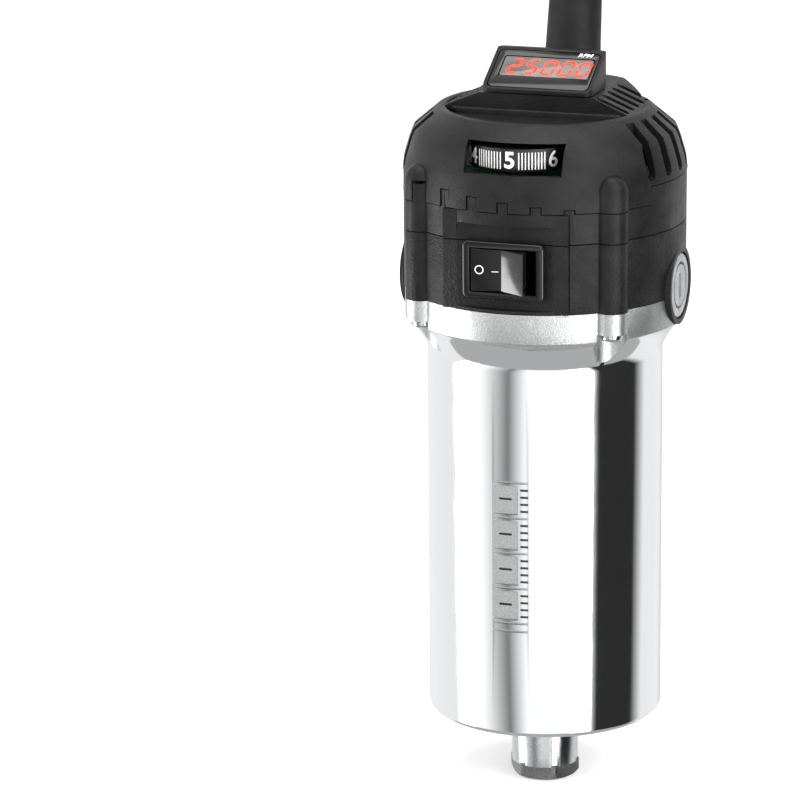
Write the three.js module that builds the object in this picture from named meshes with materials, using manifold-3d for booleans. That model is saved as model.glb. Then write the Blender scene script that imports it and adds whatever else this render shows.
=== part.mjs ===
// Trim router motor, standing upright with its collet down.
// Millimetres, +Z up along the spindle, the front towards -Y, the origin on the spindle axis
// in the plane of the nose. Run as any three.js module; needs only three and manifold-3d.
import * as THREE from "three";
import { mergeVertices } from "three/addons/utils/BufferGeometryUtils.js";
import Module from "manifold-3d";

const wasm = await Module();
wasm.setup();

// ---------------------------------------------------------------- driving dimensions

const GAP = 0.3; // between pieces that seat on each other
const AIR = 0.8; // between what turns and what stands still

// Motor body: a straight barrel, a cone and a flange, cast in one with the nose
const BODY_R = 32.5;
const BODY_WALL = 3;
const NOSE_T = 4;
const RIM_CHAMFER = 1.4;
const BARREL_L = 104.4;
const CONE_H = 8.9;
const FLANGE_H = 8.1;
const FLANGE_STEP = 0.2; // the flange is this much inside the housings' wall

// Head: three stacked plastic shells
const HEAD_OVERHANG = 6.2; // of the head's wall past the body
const HEAD_WALL = 2.6;
const LOWER_H = 19;
const MIDDLE_H = 8.4;
const SIDE_STEP = 5; // the middle shell is this much taller under the side vents
const SKIRT_H = 8.8;
const SHOULDER_H = 13.6;
const RIM_R_INSET = 9.8; // of the top rim from the head's wall
const DISC_SINK = 1.6; // of the top disc below the rim
const ROOF_RISE = 4; // of the display's seat above the rim

// Columns for the four long screws
const COLUMN_R = 4.4;
const COLUMN_INSET = 0.9; // of the column's centre from the head's wall
const SCREW_R = 1.9;
const SCREW_HEAD_R = 2.9;
const SCREW_HEAD_H = 2;
const EAR_H = 5.8;
const COLUMN_ANGLES = [45, 135, 225, 315];

// Seam between the middle shell and the cover, with square tabs
const TAB_W = 2.6;
const TAB_PITCH = 13.3; // degrees
const TAB_COUNTS = [-3, -2, -1, 0, 1, 2];
const TAB_H = 2.9;
const TAB_SLOPE = 0.068; // millimetres of height per degree
const SIDE_SEAM = [64, 116]; // degrees from the front

// Spindle nose, nut and collet
const NUT_END = 21; // below the nose plane
const NUT_L = 15.7;
const NUT_R = 9.3;
const NUT_AF = 17; // across the flats of the hexagon
const NUT_HEX_H = 4.6;
const NUT_MOUTH_R = 4.9;
const THREAD_R = 7;
const COLLET_L = 18;
const COLLET_R = 5.75;
const COLLET_BORE_R = 3.175;
const COLLET_TAPER = 8; // degrees to the axis
const SPINDLE_R = 8;
const SPINDLE_AF = 13;

// Bearings: bore, outside and width
const FRONT_BEARING = { bore: 7.5, outer: 16, width: 9, base: 3 };
const REAR_BEARING = { bore: 4, outer: 11, width: 7, base: 135.2 };
const RACE_T = 2.6;

// Motor
const STATOR_OVERHANG = 8.4; // of the barrel's top above the laminations
const STATOR_FOOT = 47.7;
const YOKE_T = 5;
const ROTOR_R = 16;
const ROTOR_SLOTS = 12;
const SHAFT_R = 5;
const COIL_OVERHANG = 7;
const FAN_R = 26;
const FAN_BLADES = 10;
const FAN_Z = [19, 36];
const COMMUTATOR_R = 11;
const COMMUTATOR_L = 18;
const COMMUTATOR_BARS = 16;

// Brush gear, on the X axis
const BRUSH_RISE = 1.8; // of the brushes' axis above the flange
const BRUSH = { width: 7.4, height: 6, length: 11 };
const HOLDER_WALL = 0.6;
const CAP_R = 8.9;
const CAP_T = 2.5;
const CAP_SHANK_R = 7;
const CAP_SHANK_L = 4.6;
const BOSS_R = 10.7;
const BOSS_INSET = 0.1; // of the boss face from the head's wall
const CONTACT_R = 5.5;
const CONTACT_T = 0.8;

// Rocker switch, centred on the front
const SWITCH = { halfW: 11.4, halfH: 7.8, rise: 11.8, bezelT: 2.2, depth: 12.5 };
const POCKET = { halfW: 15.5, low: 1, high: 24.1, depth: 2.5, radius: 3.5 };
const ROCKER = { halfL: 7.9, halfH: 5.8, swing: 11 };

// Speed dial: a thumbwheel on an upright shaft
const DIAL = { radius: 14.5, thickness: 6.4, setback: 3.7, rise: 1.7 };
const DIAL_WINDOW = { left: 11.6, right: 15.2, height: 8.2 };

// Display, leaning back on the roof
const DISPLAY = { halfW: 15.4, front: 8.9, back: 8.2, tilt: 29.3, top: 10, corner: 2.2, wall: 1.6 };
const PANEL = { halfW: 14.1, halfH: 7.7, thickness: 1 };
const WINDOW = { halfW: 12.8, halfH: 4.3, offset: [0.5, 1.1] };

// Vents
const SIDE_VENTS = { first: 64.5, pitch: 11.7, count: 5, width: 3.2, foot: 6.7, inner: 30.5 };
const ROOF_VENTS = { first: -6.6, pitch: 5, count: 5, width: 2.6, from: 16.6, to: 25.6 };
const EXHAUST = { count: 6, halfAngle: 21, inner: 21.5, outer: 26.6 };

// Depth scale on the front of the barrel
const SCALE = { base: 33, pitch: 10, left: -5.4, right: 6.2, line: 0.6, depth: 0.4, extra: 2.3 };

// Mains cord: leaves the back of the cover through its boot
const BOOT = { y: 24.5, lean: 10, length: 59, baseR: 8, tipR: 6.3, collarR: 9.9, towerR: 9.8 };
const CORD_R = 3.75;
const CORD_TURN = 16.6; // of the cord's own plane, clockwise from straight back
const HANK = { length: 118, width: 52.5, thickness: 37.5, start: 9.7, side: 7, tie: [32, 42], tieT: 1.2 };
const PLUG = { width: 26, thickness: 20, length: 36, entry: 62 };

// ---------------------------------------------------------------- derived sizes

const zCone = BARREL_L;
const zFlange = zCone + CONE_H;
const zDeck = zFlange + FLANGE_H;
const zSplit = zDeck + LOWER_H;
const zTab = zSplit + MIDDLE_H;
const zSideSeam = zTab + SIDE_STEP;
const zShoulder = zTab + SKIRT_H;
const zRim = zShoulder + SHOULDER_H;
const zDisc = zRim - DISC_SINK;
const zRoof = zRim + ROOF_RISE;
const zEar = zDeck - EAR_H;
const zBrush = zDeck + BRUSH_RISE;
const zDial = zShoulder + DIAL.rise;

const bodyBore = BODY_R - BODY_WALL;
const headR = BODY_R + HEAD_OVERHANG;
const headBore = headR - HEAD_WALL;
const columnRing = headR - COLUMN_INSET;
const rimR = headR - RIM_R_INSET;
const discR = rimR - 1.9;

const statorTop = BARREL_L - STATOR_OVERHANG;
const statorR = bodyBore - 4 * GAP;
const statorBore = ROTOR_R + AIR;
const slotOuter = statorR - YOKE_T;
const slotInner = statorBore + 2.8;
const cupR = REAR_BEARING.outer + 1.2 + GAP;
const rearLift = zBrush - 123.2; // the rear bearing follows the brush gear
const zRear = REAR_BEARING.base + rearLift;
const zCup = zRear + REAR_BEARING.width + 0.8;

const pocketFloor = headR - POCKET.depth;
const zSwitch = zDeck + SWITCH.rise;
const dialY = -(headR - DIAL.setback - DIAL.radius);
const bossFace = headR - BOSS_INSET;
const capSeat = bossFace - CAP_T - 0.2;
const contactX = capSeat - CAP_SHANK_L - GAP - CONTACT_T;
const holderEnd = contactX - 2 * GAP;
const brushTail = COMMUTATOR_R + GAP + BRUSH.length;
const zBoard = zTab + 2.8;
const zTray = zTab - 5;

// ---------------------------------------------------------------- shapes and booleans

const radians = THREE.MathUtils.degToRad;

// An angle counted from the front, towards +X, as the angle of a three.js arc.
const fromFront = (degrees) => radians(degrees - 90);

function toSolid(geometry) {
  const bare = geometry.clone();
  bare.deleteAttribute("normal");
  bare.deleteAttribute("uv");
  const merged = mergeVertices(bare, 1e-5);
  const index = merged.index.array;
  const corners = [];
  for (let i = 0; i < index.length; i += 3) {
    const [a, b, c] = index.subarray(i, i + 3);
    if (a !== b && b !== c && c !== a) corners.push(a, b, c);
  }
  const build = (list) =>
    new wasm.Manifold(
      new wasm.Mesh({
        numProp: 3,
        vertProperties: merged.attributes.position.array,
        triVerts: new Uint32Array(list),
      }),
    );
  const made = build(corners);
  return made.volume() < 0 ? build(corners.reverse()) : made;
}

function toGeometry(solid) {
  const mesh = solid.getMesh();
  const geometry = new THREE.BufferGeometry();
  geometry.setAttribute("position", new THREE.BufferAttribute(mesh.vertProperties, 3));
  geometry.setIndex(new THREE.BufferAttribute(mesh.triVerts, 1));
  return geometry;
}

function join(...shapes) {
  return toGeometry(shapes.map(toSolid).reduce((a, b) => a.add(b)));
}

function cut(shape, ...tools) {
  return toGeometry(tools.map(toSolid).reduce((a, b) => a.subtract(b), toSolid(shape)));
}

function common(a, b) {
  return toGeometry(toSolid(a).intersect(toSolid(b)));
}

// A body of revolution about Z from [radius, height] points.
function turned(profile, segments = 36) {
  const points = profile.map(([r, z]) => new THREE.Vector2(r, z));
  return new THREE.LatheGeometry(points, segments).rotateX(Math.PI / 2);
}

const rod = (r, z0, z1, segments = 24) =>
  turned([[0, z0], [r, z0], [r, z1], [0, z1]], segments);

const ring = (r0, r1, z0, z1, segments = 36) =>
  turned([[r0, z0], [r1, z0], [r1, z1], [r0, z1], [r0, z0]], segments);

const rodX = (r, x0, x1, z, segments = 24) =>
  rod(r, x0, x1, segments).rotateY(Math.PI / 2).translate(0, 0, z);

function box(x0, x1, y0, y1, z0, z1) {
  return new THREE.BoxGeometry(x1 - x0, y1 - y0, z1 - z0).translate(
    (x0 + x1) / 2,
    (y0 + y1) / 2,
    (z0 + z1) / 2,
  );
}

function prism(shape, z0, z1, curveSegments = 6) {
  const settings = { depth: z1 - z0, bevelEnabled: false, curveSegments };
  return new THREE.ExtrudeGeometry(shape, settings).translate(0, 0, z0);
}

// A shape drawn in X and Z, extruded from y0 to y1.
function prismY(shape, y0, y1, curveSegments = 6) {
  return prism(shape, 0, y1 - y0, curveSegments).rotateX(Math.PI / 2).translate(0, y1, 0);
}

function polygon(points) {
  return new THREE.Shape(points.map(([x, y]) => new THREE.Vector2(x, y)));
}

function roundedRect(x0, x1, y0, y1, r) {
  const shape = new THREE.Shape();
  shape.absarc(x1 - r, y0 + r, r, -Math.PI / 2, 0);
  shape.absarc(x1 - r, y1 - r, r, 0, Math.PI / 2);
  shape.absarc(x0 + r, y1 - r, r, Math.PI / 2, Math.PI);
  shape.absarc(x0 + r, y0 + r, r, Math.PI, 1.5 * Math.PI);
  shape.closePath();
  return shape;
}

function sector(r0, r1, from, to) {
  const shape = new THREE.Shape();
  shape.absarc(0, 0, r1, fromFront(from), fromFront(to), false);
  shape.absarc(0, 0, r0, fromFront(to), fromFront(from), true);
  shape.closePath();
  return shape;
}

const turnedTo = (geometry, degrees) => geometry.clone().rotateZ(radians(degrees));

// Copies of a geometry that points along -Y, turned to each angle counted from the front.
const around = (geometry, angles) => angles.map((angle) => turnedTo(geometry, angle));

// ---------------------------------------------------------------- materials

const finish = (color, roughness, metalness) =>
  new THREE.MeshStandardMaterial({ color, roughness, metalness });

const FINISH = {
  polishedAluminium: finish(0xdfe0e0, 0.12, 1),
  castAluminium: finish(0xc2c3c3, 0.5, 1),
  blackNylon: finish(0x2b2b2c, 0.55, 0),
  glossBlack: finish(0x151516, 0.15, 0),
  greyPlastic: finish(0x8f8f8d, 0.45, 0),
  smokedWindow: finish(0x6a6464, 0.1, 0),
  steel: finish(0xb4b5b6, 0.3, 1),
  darkSteel: finish(0x6f7174, 0.4, 1),
  laminations: finish(0x63666a, 0.55, 0.8),
  copper: finish(0xb4663a, 0.35, 1),
  brass: finish(0xc9a45a, 0.35, 1),
  carbon: finish(0x3a3a3c, 0.7, 0),
  rubber: finish(0x1c1c1d, 0.8, 0),
  fanNylon: finish(0x35363a, 0.6, 0),
  boardGreen: finish(0x1f5a3a, 0.5, 0),
  magnet: finish(0x55575a, 0.4, 0.6),
  cordPvc: finish(0x1d1d1e, 0.6, 0),
};

const router = new THREE.Group();

function add(name, geometry, material, parent = router) {
  const shown = geometry.index ? geometry.toNonIndexed() : geometry.clone();
  shown.deleteAttribute("uv");
  shown.computeVertexNormals();
  const mesh = new THREE.Mesh(shown, material);
  mesh.name = name;
  parent.add(mesh);
  return mesh;
}

// ---------------------------------------------------------------- motor body

function bodyProfile() {
  const seat = FRONT_BEARING.outer + GAP;
  const top = FRONT_BEARING.base + FRONT_BEARING.width + GAP;
  const boss = seat + 2.7;
  const groove = seat + 0.9;
  const flangeR = headR - FLANGE_STEP;
  return [
    [BODY_R - RIM_CHAMFER, 0],
    [BODY_R - 0.3 * RIM_CHAMFER, 0.3 * RIM_CHAMFER],
    [BODY_R, RIM_CHAMFER],
    [BODY_R, zCone],
    [flangeR, zFlange],
    [flangeR, zDeck],
    [bodyBore, zDeck],
    [bodyBore, NOSE_T],
    [boss, NOSE_T],
    [boss, top + 2],
    [FRONT_BEARING.outer - RACE_T, top + 2],
    [FRONT_BEARING.outer - RACE_T, top],
    [seat, top],
    [seat, FRONT_BEARING.base - 0.3],
    [groove, FRONT_BEARING.base - 0.3],
    [groove, FRONT_BEARING.base - 1.9],
    [seat, FRONT_BEARING.base - 1.9],
    [seat, 0],
    [BODY_R - RIM_CHAMFER, 0],
  ];
}

// Engraved ruler: long lines every 10 mm with four short ticks between, and a sunk panel
// beside the ticks in each interval.
function scaleCuts() {
  const outer = -(BODY_R + 1);
  const line = (x0, x1, z) =>
    box(x0, x1, outer, -(BODY_R - SCALE.depth), z - SCALE.line / 2, z + SCALE.line / 2);
  const cuts = [line(SCALE.left, SCALE.right, SCALE.base - SCALE.extra)];
  for (let i = 0; i <= 4; i++) {
    const z = SCALE.base + i * SCALE.pitch;
    cuts.push(line(SCALE.left, SCALE.right, z));
    if (i === 4) break;
    for (let k = 1; k <= 4; k++) {
      cuts.push(line(SCALE.right - 3.4, SCALE.right, z + (k * SCALE.pitch) / 5));
    }
    cuts.push(
      box(SCALE.left + 0.3, SCALE.left + 7.6, outer, -(BODY_R - 0.45), z + 0.9, z + 9.1),
    );
  }
  return cuts;
}

function makeMotorBody() {
  const relief = rod(COLUMN_R + 0.2, zCone - 2, zEar, 16).translate(0, -columnRing, 0);
  const ear = rod(COLUMN_R, zEar, zDeck, 16).translate(0, -columnRing, 0);
  const screwHole = rod(SCREW_R + GAP, zEar - 1, zDeck + 1, 8).translate(0, -columnRing, 0);
  const foot = box(-3, 3, -(bodyBore + 1), -(FAN_R + 1.4), NOSE_T - 1, STATOR_FOOT - 10);
  const rib = box(-2, 2, -(bodyBore + 1), -(statorR + GAP), STATOR_FOOT - 10.5, statorTop);
  const window = prism(
    sector(EXHAUST.inner, EXHAUST.outer, -EXHAUST.halfAngle, EXHAUST.halfAngle),
    -1,
    NOSE_T + 1,
  );
  const windowAngles = Array.from({ length: EXHAUST.count }, (_, i) => (i * 360) / EXHAUST.count);
  const notch = rodX(BOSS_R + GAP, BODY_R * 0.7, headR + 5, zBrush);
  const shell = cut(turned(bodyProfile(), 40), ...around(relief, COLUMN_ANGLES));
  const ribbed = join(
    shell,
    ...around(ear, COLUMN_ANGLES),
    ...around(foot, [0, 90, 180, 270]),
    ...around(rib, [0, 90, 180, 270]),
  );
  return cut(
    ribbed,
    ...around(screwHole, COLUMN_ANGLES),
    ...around(window, windowAngles),
    ...around(notch, [0, 180]),
    ...scaleCuts(),
  );
}

// ---------------------------------------------------------------- spindle, nut and collet

function makeRotorShaft() {
  const taper = Math.tan(radians(COLLET_TAPER));
  const mouth = -(NUT_END - 5.4);
  const socketTop = -(NUT_END - 1 - COLLET_L) + GAP;
  const mouthR = COLLET_R + GAP - 0.05;
  const shoulder = FRONT_BEARING.base - GAP;
  const rearR = REAR_BEARING.bore - GAP;
  const profile = [
    [0, 10],
    [COLLET_BORE_R + GAP, 10],
    [COLLET_BORE_R + GAP, socketTop],
    [mouthR - taper * (socketTop - mouth), socketTop],
    [mouthR, mouth],
    [THREAD_R - 0.1, mouth],
    [THREAD_R - 0.1, -(NUT_END - NUT_L) + GAP],
    [SPINDLE_R, -(NUT_END - NUT_L) + GAP],
    [SPINDLE_R, 0.9],
    [SPINDLE_R + 1, 0.9],
    [SPINDLE_R + 1, shoulder],
    [FRONT_BEARING.bore - GAP, shoulder],
    [FRONT_BEARING.bore - GAP, FAN_Z[0] - 1],
    [SHAFT_R + 1, FAN_Z[0] - 1],
    [SHAFT_R + 1, FAN_Z[1] + 1],
    [SHAFT_R, FAN_Z[1] + 1],
    [SHAFT_R, zBrush - COMMUTATOR_L / 2 - 3],
    [REAR_BEARING.bore, zBrush - COMMUTATOR_L / 2 - 3],
    [REAR_BEARING.bore, zRear - 0.6],
    [rearR, zRear - 0.6],
    [rearR, zCup + 5.2],
    [0, zCup + 5.2],
  ];
  const flat = box(SPINDLE_AF / 2, 12, -12, 12, -(NUT_END - NUT_L), 0.6);
  return cut(turned(profile, 20), ...around(flat, [0, 180]));
}

function makeColletNut() {
  const end = -NUT_END;
  const top = end + NUT_L;
  const across = NUT_AF / Math.sqrt(3); // to the hexagon's corners
  const outside = join(
    common(
      turned([[0, end], [8.2, end], [across, end + 1.1], [across, end + NUT_HEX_H], [0, end + NUT_HEX_H]], 24),
      turnedTo(rod(across, end, end + NUT_HEX_H, 6), 4),
    ),
    rod(NUT_R, end + NUT_HEX_H, top, 32),
  );
  const inside = turned(
    [
      [0, end - 1],
      [NUT_MOUTH_R, end - 1],
      [NUT_MOUTH_R, end + 0.6],
      [COLLET_R + GAP, end + 2.4],
      [COLLET_R + GAP, end + 5],
      [THREAD_R + GAP - 0.1, end + 5],
      [THREAD_R + GAP - 0.1, top + 1],
      [0, top + 1],
    ],
    24,
  );
  return cut(outside, inside);
}

function makeCollet() {
  const front = -(NUT_END - 1);
  const back = front + COLLET_L;
  const taper = Math.tan(radians(COLLET_TAPER));
  const body = turned(
    [
      [COLLET_BORE_R, front],
      [COLLET_R - 1.5, front],
      [COLLET_R - 0.4, front + 1.6],
      [COLLET_R - 0.4, front + 2.4],
      [COLLET_R - 1, front + 2.4],
      [COLLET_R - 1, front + 3.6],
      [COLLET_R - 0.1, front + 3.6],
      [COLLET_R - 0.1 - taper * (COLLET_L - 4.4), back - 0.8],
      [COLLET_R - 0.3 - taper * (COLLET_L - 4.4), back],
      [COLLET_BORE_R, back],
      [COLLET_BORE_R, front],
    ],
    16,
  );
  const fromFace = box(-0.3, 0.3, -8, -1, front - 1, back - 3);
  const fromTail = box(-0.3, 0.3, -8, -1, front + 4.5, back + 1);
  return cut(
    body,
    ...around(fromFace, [0, 90, 180, 270]),
    ...around(fromTail, COLUMN_ANGLES),
  );
}

// ---------------------------------------------------------------- bearings

function addBearing(name, bearing, z, parts) {
  const { bore, outer, width } = bearing;
  const middle = (bore + outer) / 2;
  const half = (outer - bore) / 2 - RACE_T * 0.72 - GAP;
  const centre = z + width / 2;
  const cage = [];
  for (let i = 0; i <= 6; i++) {
    const angle = (i * Math.PI) / 3;
    cage.push([middle + half * Math.cos(angle), centre + width * 0.34 * Math.sin(angle)]);
  }
  cage[6] = cage[0];
  const race = RACE_T * 0.72;
  add(name + "_outer_race", ring(outer - race, outer, z, z + width, 24), FINISH.steel);
  add(name + "_ball_cage", turned(cage, 20), FINISH.darkSteel);
  add(name + "_inner_race", ring(bore, bore + race, z, z + width, 20), FINISH.steel);
  return parts;
}

function makeCirclip() {
  const inner = FRONT_BEARING.outer - 2.2;
  const outer = FRONT_BEARING.outer + 0.8;
  const z = FRONT_BEARING.base - 1.6;
  const gap = box(-4, 4, 5, 25, z - 1, z + 2);
  return cut(ring(inner, outer, z, z + 1, 24), gap);
}

// ---------------------------------------------------------------- motor

function makeStator() {
  const bore = rod(statorBore, STATOR_FOOT - 1, statorTop + 1, 28);
  const side = prism(sector(1, slotOuter, 54, 126), STATOR_FOOT - 1, statorTop + 1);
  const behind = prism(sector(slotInner, slotOuter, 28, 152), STATOR_FOOT - 1, statorTop + 1);
  return cut(
    rod(statorR, STATOR_FOOT, statorTop, 32),
    bore,
    ...around(side, [0, 180]),
    ...around(behind, [0, 180]),
  );
}

// One field coil, wound round the pole on the front.
function makeFieldCoil() {
  const r0 = slotInner + GAP;
  const r1 = slotOuter - GAP;
  const low = STATOR_FOOT - COIL_OVERHANG;
  const high = statorTop + COIL_OVERHANG;
  const head = (z0, z1) => prism(sector(r0, r1, -48, 48), z0, z1, 8);
  return join(
    head(low, STATOR_FOOT - GAP),
    head(statorTop + GAP, high),
    prism(sector(r0, r1, 30, 48), low, high, 2),
    prism(sector(r0, r1, -48, -30), low, high, 2),
  );
}

function makeRotorCore() {
  const slot = box(-1.3, 1.3, -ROTOR_R - 1, -ROTOR_R + 5, STATOR_FOOT, statorTop);
  const angles = Array.from({ length: ROTOR_SLOTS }, (_, i) => (i * 360) / ROTOR_SLOTS);
  const wider = slot.clone().scale(1, 1, 1.2).translate(0, 0, -0.1 * (STATOR_FOOT + statorTop));
  return cut(
    ring(SHAFT_R + GAP, ROTOR_R, STATOR_FOOT + 1, statorTop - 1, 24),
    ...around(wider, angles),
  );
}

// The rounded bundle of end turns between two heights.
function makeEndTurns(z0, z1) {
  const r0 = SHAFT_R + GAP;
  const r1 = ROTOR_R - 1.2;
  return turned(
    [[r0, z0], [r1 - 3, z0], [r1, z0 + 2], [r1, z1 - 2], [r1 - 2, z1], [r0, z1], [r0, z0]],
    20,
  );
}

function makeCommutator() {
  const z0 = zBrush - COMMUTATOR_L / 2;
  const z1 = zBrush + COMMUTATOR_L / 2;
  const r0 = REAR_BEARING.bore + GAP;
  const body = turned(
    [
      [r0, z0 - 1.5],
      [COMMUTATOR_R + 1.2, z0 - 1.5],
      [COMMUTATOR_R + 1.2, z0 + 0.8],
      [COMMUTATOR_R, z0 + 0.8],
      [COMMUTATOR_R, z1],
      [r0, z1],
      [r0, z0 - 1.5],
    ],
    20,
  );
  const groove = box(-0.25, 0.25, -COMMUTATOR_R - 2, -COMMUTATOR_R + 1, z0 - 2, z1 - 1.5);
  const step = 360 / COMMUTATOR_BARS;
  const angles = Array.from({ length: COMMUTATOR_BARS }, (_, i) => (i + 0.5) * step);
  return cut(body, ...around(groove, angles));
}

function makeFan() {
  const [z0, z1] = FAN_Z;
  const hub = SHAFT_R + 1 + GAP;
  const body = turned(
    [
      [hub, z0],
      [hub + 3, z0],
      [hub + 3, z1 - 5],
      [FAN_R, z1 - 2.5],
      [FAN_R, z1 - 1],
      [hub + 3, z1 - 1.5],
      [hub + 3, z1],
      [hub, z1],
      [hub, z0],
    ],
    20,
  );
  const blade = box(-0.8, 0.8, -FAN_R, -(hub + 2), z0, z1 - 2);
  const angles = Array.from({ length: FAN_BLADES }, (_, i) => (i * 360) / FAN_BLADES);
  return join(body, ...around(blade, angles));
}

function makeBaffle() {
  const z0 = STATOR_FOOT - 10 + GAP;
  const z1 = STATOR_FOOT - GAP;
  const r1 = bodyBore - GAP;
  const rim = r1 - 1.7;
  const slot = box(-2.4, 2.4, -bodyBore - 2, -(statorR - 0.6), z0 - 1, z1 + 1);
  const body = turned(
    [[18, z0], [r1, z0], [r1, z1], [rim, z1], [rim, z0 + 1.6], [18, z0 + 1.6], [18, z0]],
    28,
  );
  return cut(body, ...around(slot, [0, 90, 180, 270]));
}

// ---------------------------------------------------------------- housings

const columnAt = (r, z0, z1, segments = 16) => rod(r, z0, z1, segments).translate(0, -columnRing, 0);

function pocketCut() {
  const shape = roundedRect(
    -POCKET.halfW,
    POCKET.halfW,
    zDeck + POCKET.low,
    zDeck + POCKET.high,
    POCKET.radius,
  );
  return prismY(shape, -(headR + 5), -pocketFloor, 6);
}

const pocketPlate = (z0, z1) =>
  box(-POCKET.halfW - 2, POCKET.halfW + 2, -pocketFloor, -(pocketFloor - 2.4), z0, z1);

function switchHole(z0, z1) {
  const half = SWITCH.halfW - 1.4 + GAP;
  return box(-half, half, -(headR + 5), -(pocketFloor - 5), z0, z1);
}

function makeLowerHousing() {
  const z0 = zDeck + GAP;
  const bridge = zRear - 1.7;
  const window = prism(sector(cupR + 4, headBore - 3, -30, 30), bridge - 1, bridge + 4);
  const deck = cut(
    ring(cupR + 1, headBore + 1, bridge, bridge + 2.5),
    ...around(window, [0, 90, 180, 270]),
  );
  const cup = turned(
    [
      [cupR, bridge],
      [cupR + 2.5, bridge],
      [cupR + 2.5, zCup + 2],
      [5, zCup + 2],
      [5, zCup],
      [cupR, zCup],
      [cupR, bridge],
    ],
    24,
  );
  const boss = rodX(BOSS_R, headR - 14, bossFace, zBrush);
  const capHole = rodX(CAP_R + GAP, capSeat - GAP, headR + 5, zBrush);
  const shankHole = rodX(CAP_SHANK_R + GAP, holderEnd, headR, zBrush);
  const halfY = BRUSH.width / 2 + HOLDER_WALL + 3 * GAP;
  const halfZ = BRUSH.height / 2 + HOLDER_WALL + 3 * GAP;
  const holderHole = box(15, headR - 2, -halfY, halfY, zBrush - halfZ, zBrush + halfZ);
  const shell = join(
    ring(headBore, headR, z0, zSplit, 40),
    deck,
    cup,
    pocketPlate(z0, zSplit),
    ...around(columnAt(COLUMN_R, z0, zSplit), COLUMN_ANGLES),
    ...around(boss, [0, 180]),
  );
  return cut(
    shell,
    pocketCut(),
    switchHole(zSwitch - SWITCH.halfH + 1, zSplit + 1),
    ...around(columnAt(SCREW_R + GAP, z0 - 1, zSplit + 1, 8), COLUMN_ANGLES),
    ...[capHole, shankHole, holderHole].flatMap((tool) => around(tool, [0, 180])),
  );
}

// Everything below the seam between the middle shell and the cover, raised by an offset.
function belowSeam(offset) {
  const base = zSplit - 1;
  const tabs = [0, 180].flatMap((side) =>
    TAB_COUNTS.map((i) => {
      const angle = i * TAB_PITCH;
      const top = zTab + TAB_H - TAB_SLOPE * angle + offset;
      const half = TAB_W / 2 + offset;
      return turnedTo(box(-half, half, -(headR + 6), -(headBore - 4), base, top), angle + side);
    }),
  );
  const widen = THREE.MathUtils.radToDeg(offset / headR);
  const [from, to] = SIDE_SEAM;
  const side = prism(
    sector(headBore - 4, headR + 6, from - widen, to + widen),
    base,
    zSideSeam + offset,
    2,
  );
  return join(rod(headR + 6, base, zTab + offset, 12), ...tabs, ...around(side, [0, 180]));
}

const boardPosts = [[-22, -12], [22, -12]];

function makeMiddleHousing() {
  const z0 = zSplit + GAP;
  const blank = join(
    ring(headBore, headR, z0, zSideSeam + 3, 40),
    pocketPlate(z0, zTab),
    ...around(columnAt(COLUMN_R, z0, zSideSeam), COLUMN_ANGLES),
  );
  const shell = common(blank, belowSeam(0));
  const hole = cupR + 2.5 + GAP;
  const window = prism(sector(hole + 3, headBore - 4, -24, 24), zTray - 1, zTray + 3);
  const tray = cut(ring(hole, headBore + 1, zTray, zTray + 2), window);
  const posts = boardPosts.map(([x, y]) => rod(2.6, zTray + 1, zBoard - GAP, 16).translate(x, y, 0));
  const web = box(-11.5, 11.5, BOOT.y - 9.1, BOOT.y - 7.7, zTray + 1, zTab + 8.2);
  const cheek = box(5.3, 11.5, BOOT.y - 8, BOOT.y + 1.5, zTray + 1, zTab + 8.2);
  const otherCheek = cheek.clone().translate(-16.8, 0, 0);
  return cut(
    join(shell, tray, ...posts, web, cheek, otherCheek),
    pocketCut(),
    ...around(columnAt(SCREW_R + GAP, z0 - 1, zSideSeam + 3, 8), COLUMN_ANGLES),
    ...boardPosts.map(([x, y]) => rod(1.5, zBoard - 5, zBoard + 1, 12).translate(x, y, 0)),
    ...[-8.4, 8.4].map((x) => clampHole(x)),
  );
}

const clampHole = (x) =>
  rod(1.5, 0, 8, 12).rotateX(Math.PI / 2).translate(x, BOOT.y + 2.5, zTab + 5.2);

// Places a shape made along Z onto the leaning axis of the cord's boot.
const onBootAxis = (geometry) =>
  geometry.clone().rotateX(-radians(BOOT.lean)).translate(0, BOOT.y, zRim - 1.2);

function coverOutside() {
  return [
    [0, zTab + GAP],
    [headR + 0.4, zTab + GAP],
    [headR - 0.2, zShoulder],
    [headR - 2.8, zShoulder + 7.8],
    [rimR, zRim],
    [rimR - 1.5, zRim],
    [discR, zDisc],
    [0, zDisc],
  ];
}

function coverInside() {
  return [
    [0, zTab - 1],
    [headBore + 0.4, zTab - 1],
    [headBore + 0.2, zShoulder - 0.4],
    [headR - 4.8, zShoulder + 6.6],
    [rimR + 0.6, zDisc - 2.2],
    [0, zDisc - 2.2],
  ];
}

// The roof under the display: flat in the middle, sloping down to the rim on both sides.
function roof(inset, y0, y1, radius) {
  const flat = DISPLAY.halfW + 0.6 - inset / 2;
  const low = zRim - 0.6 - inset;
  const shape = polygon([
    [-discR, zDisc - 3],
    [discR, zDisc - 3],
    [discR, low],
    [flat, zRoof - inset],
    [-flat, zRoof - inset],
    [-discR, low],
  ]);
  return common(prismY(shape, y0, y1), rod(radius, zDisc - 4, zRoof + 1, 24));
}

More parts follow.
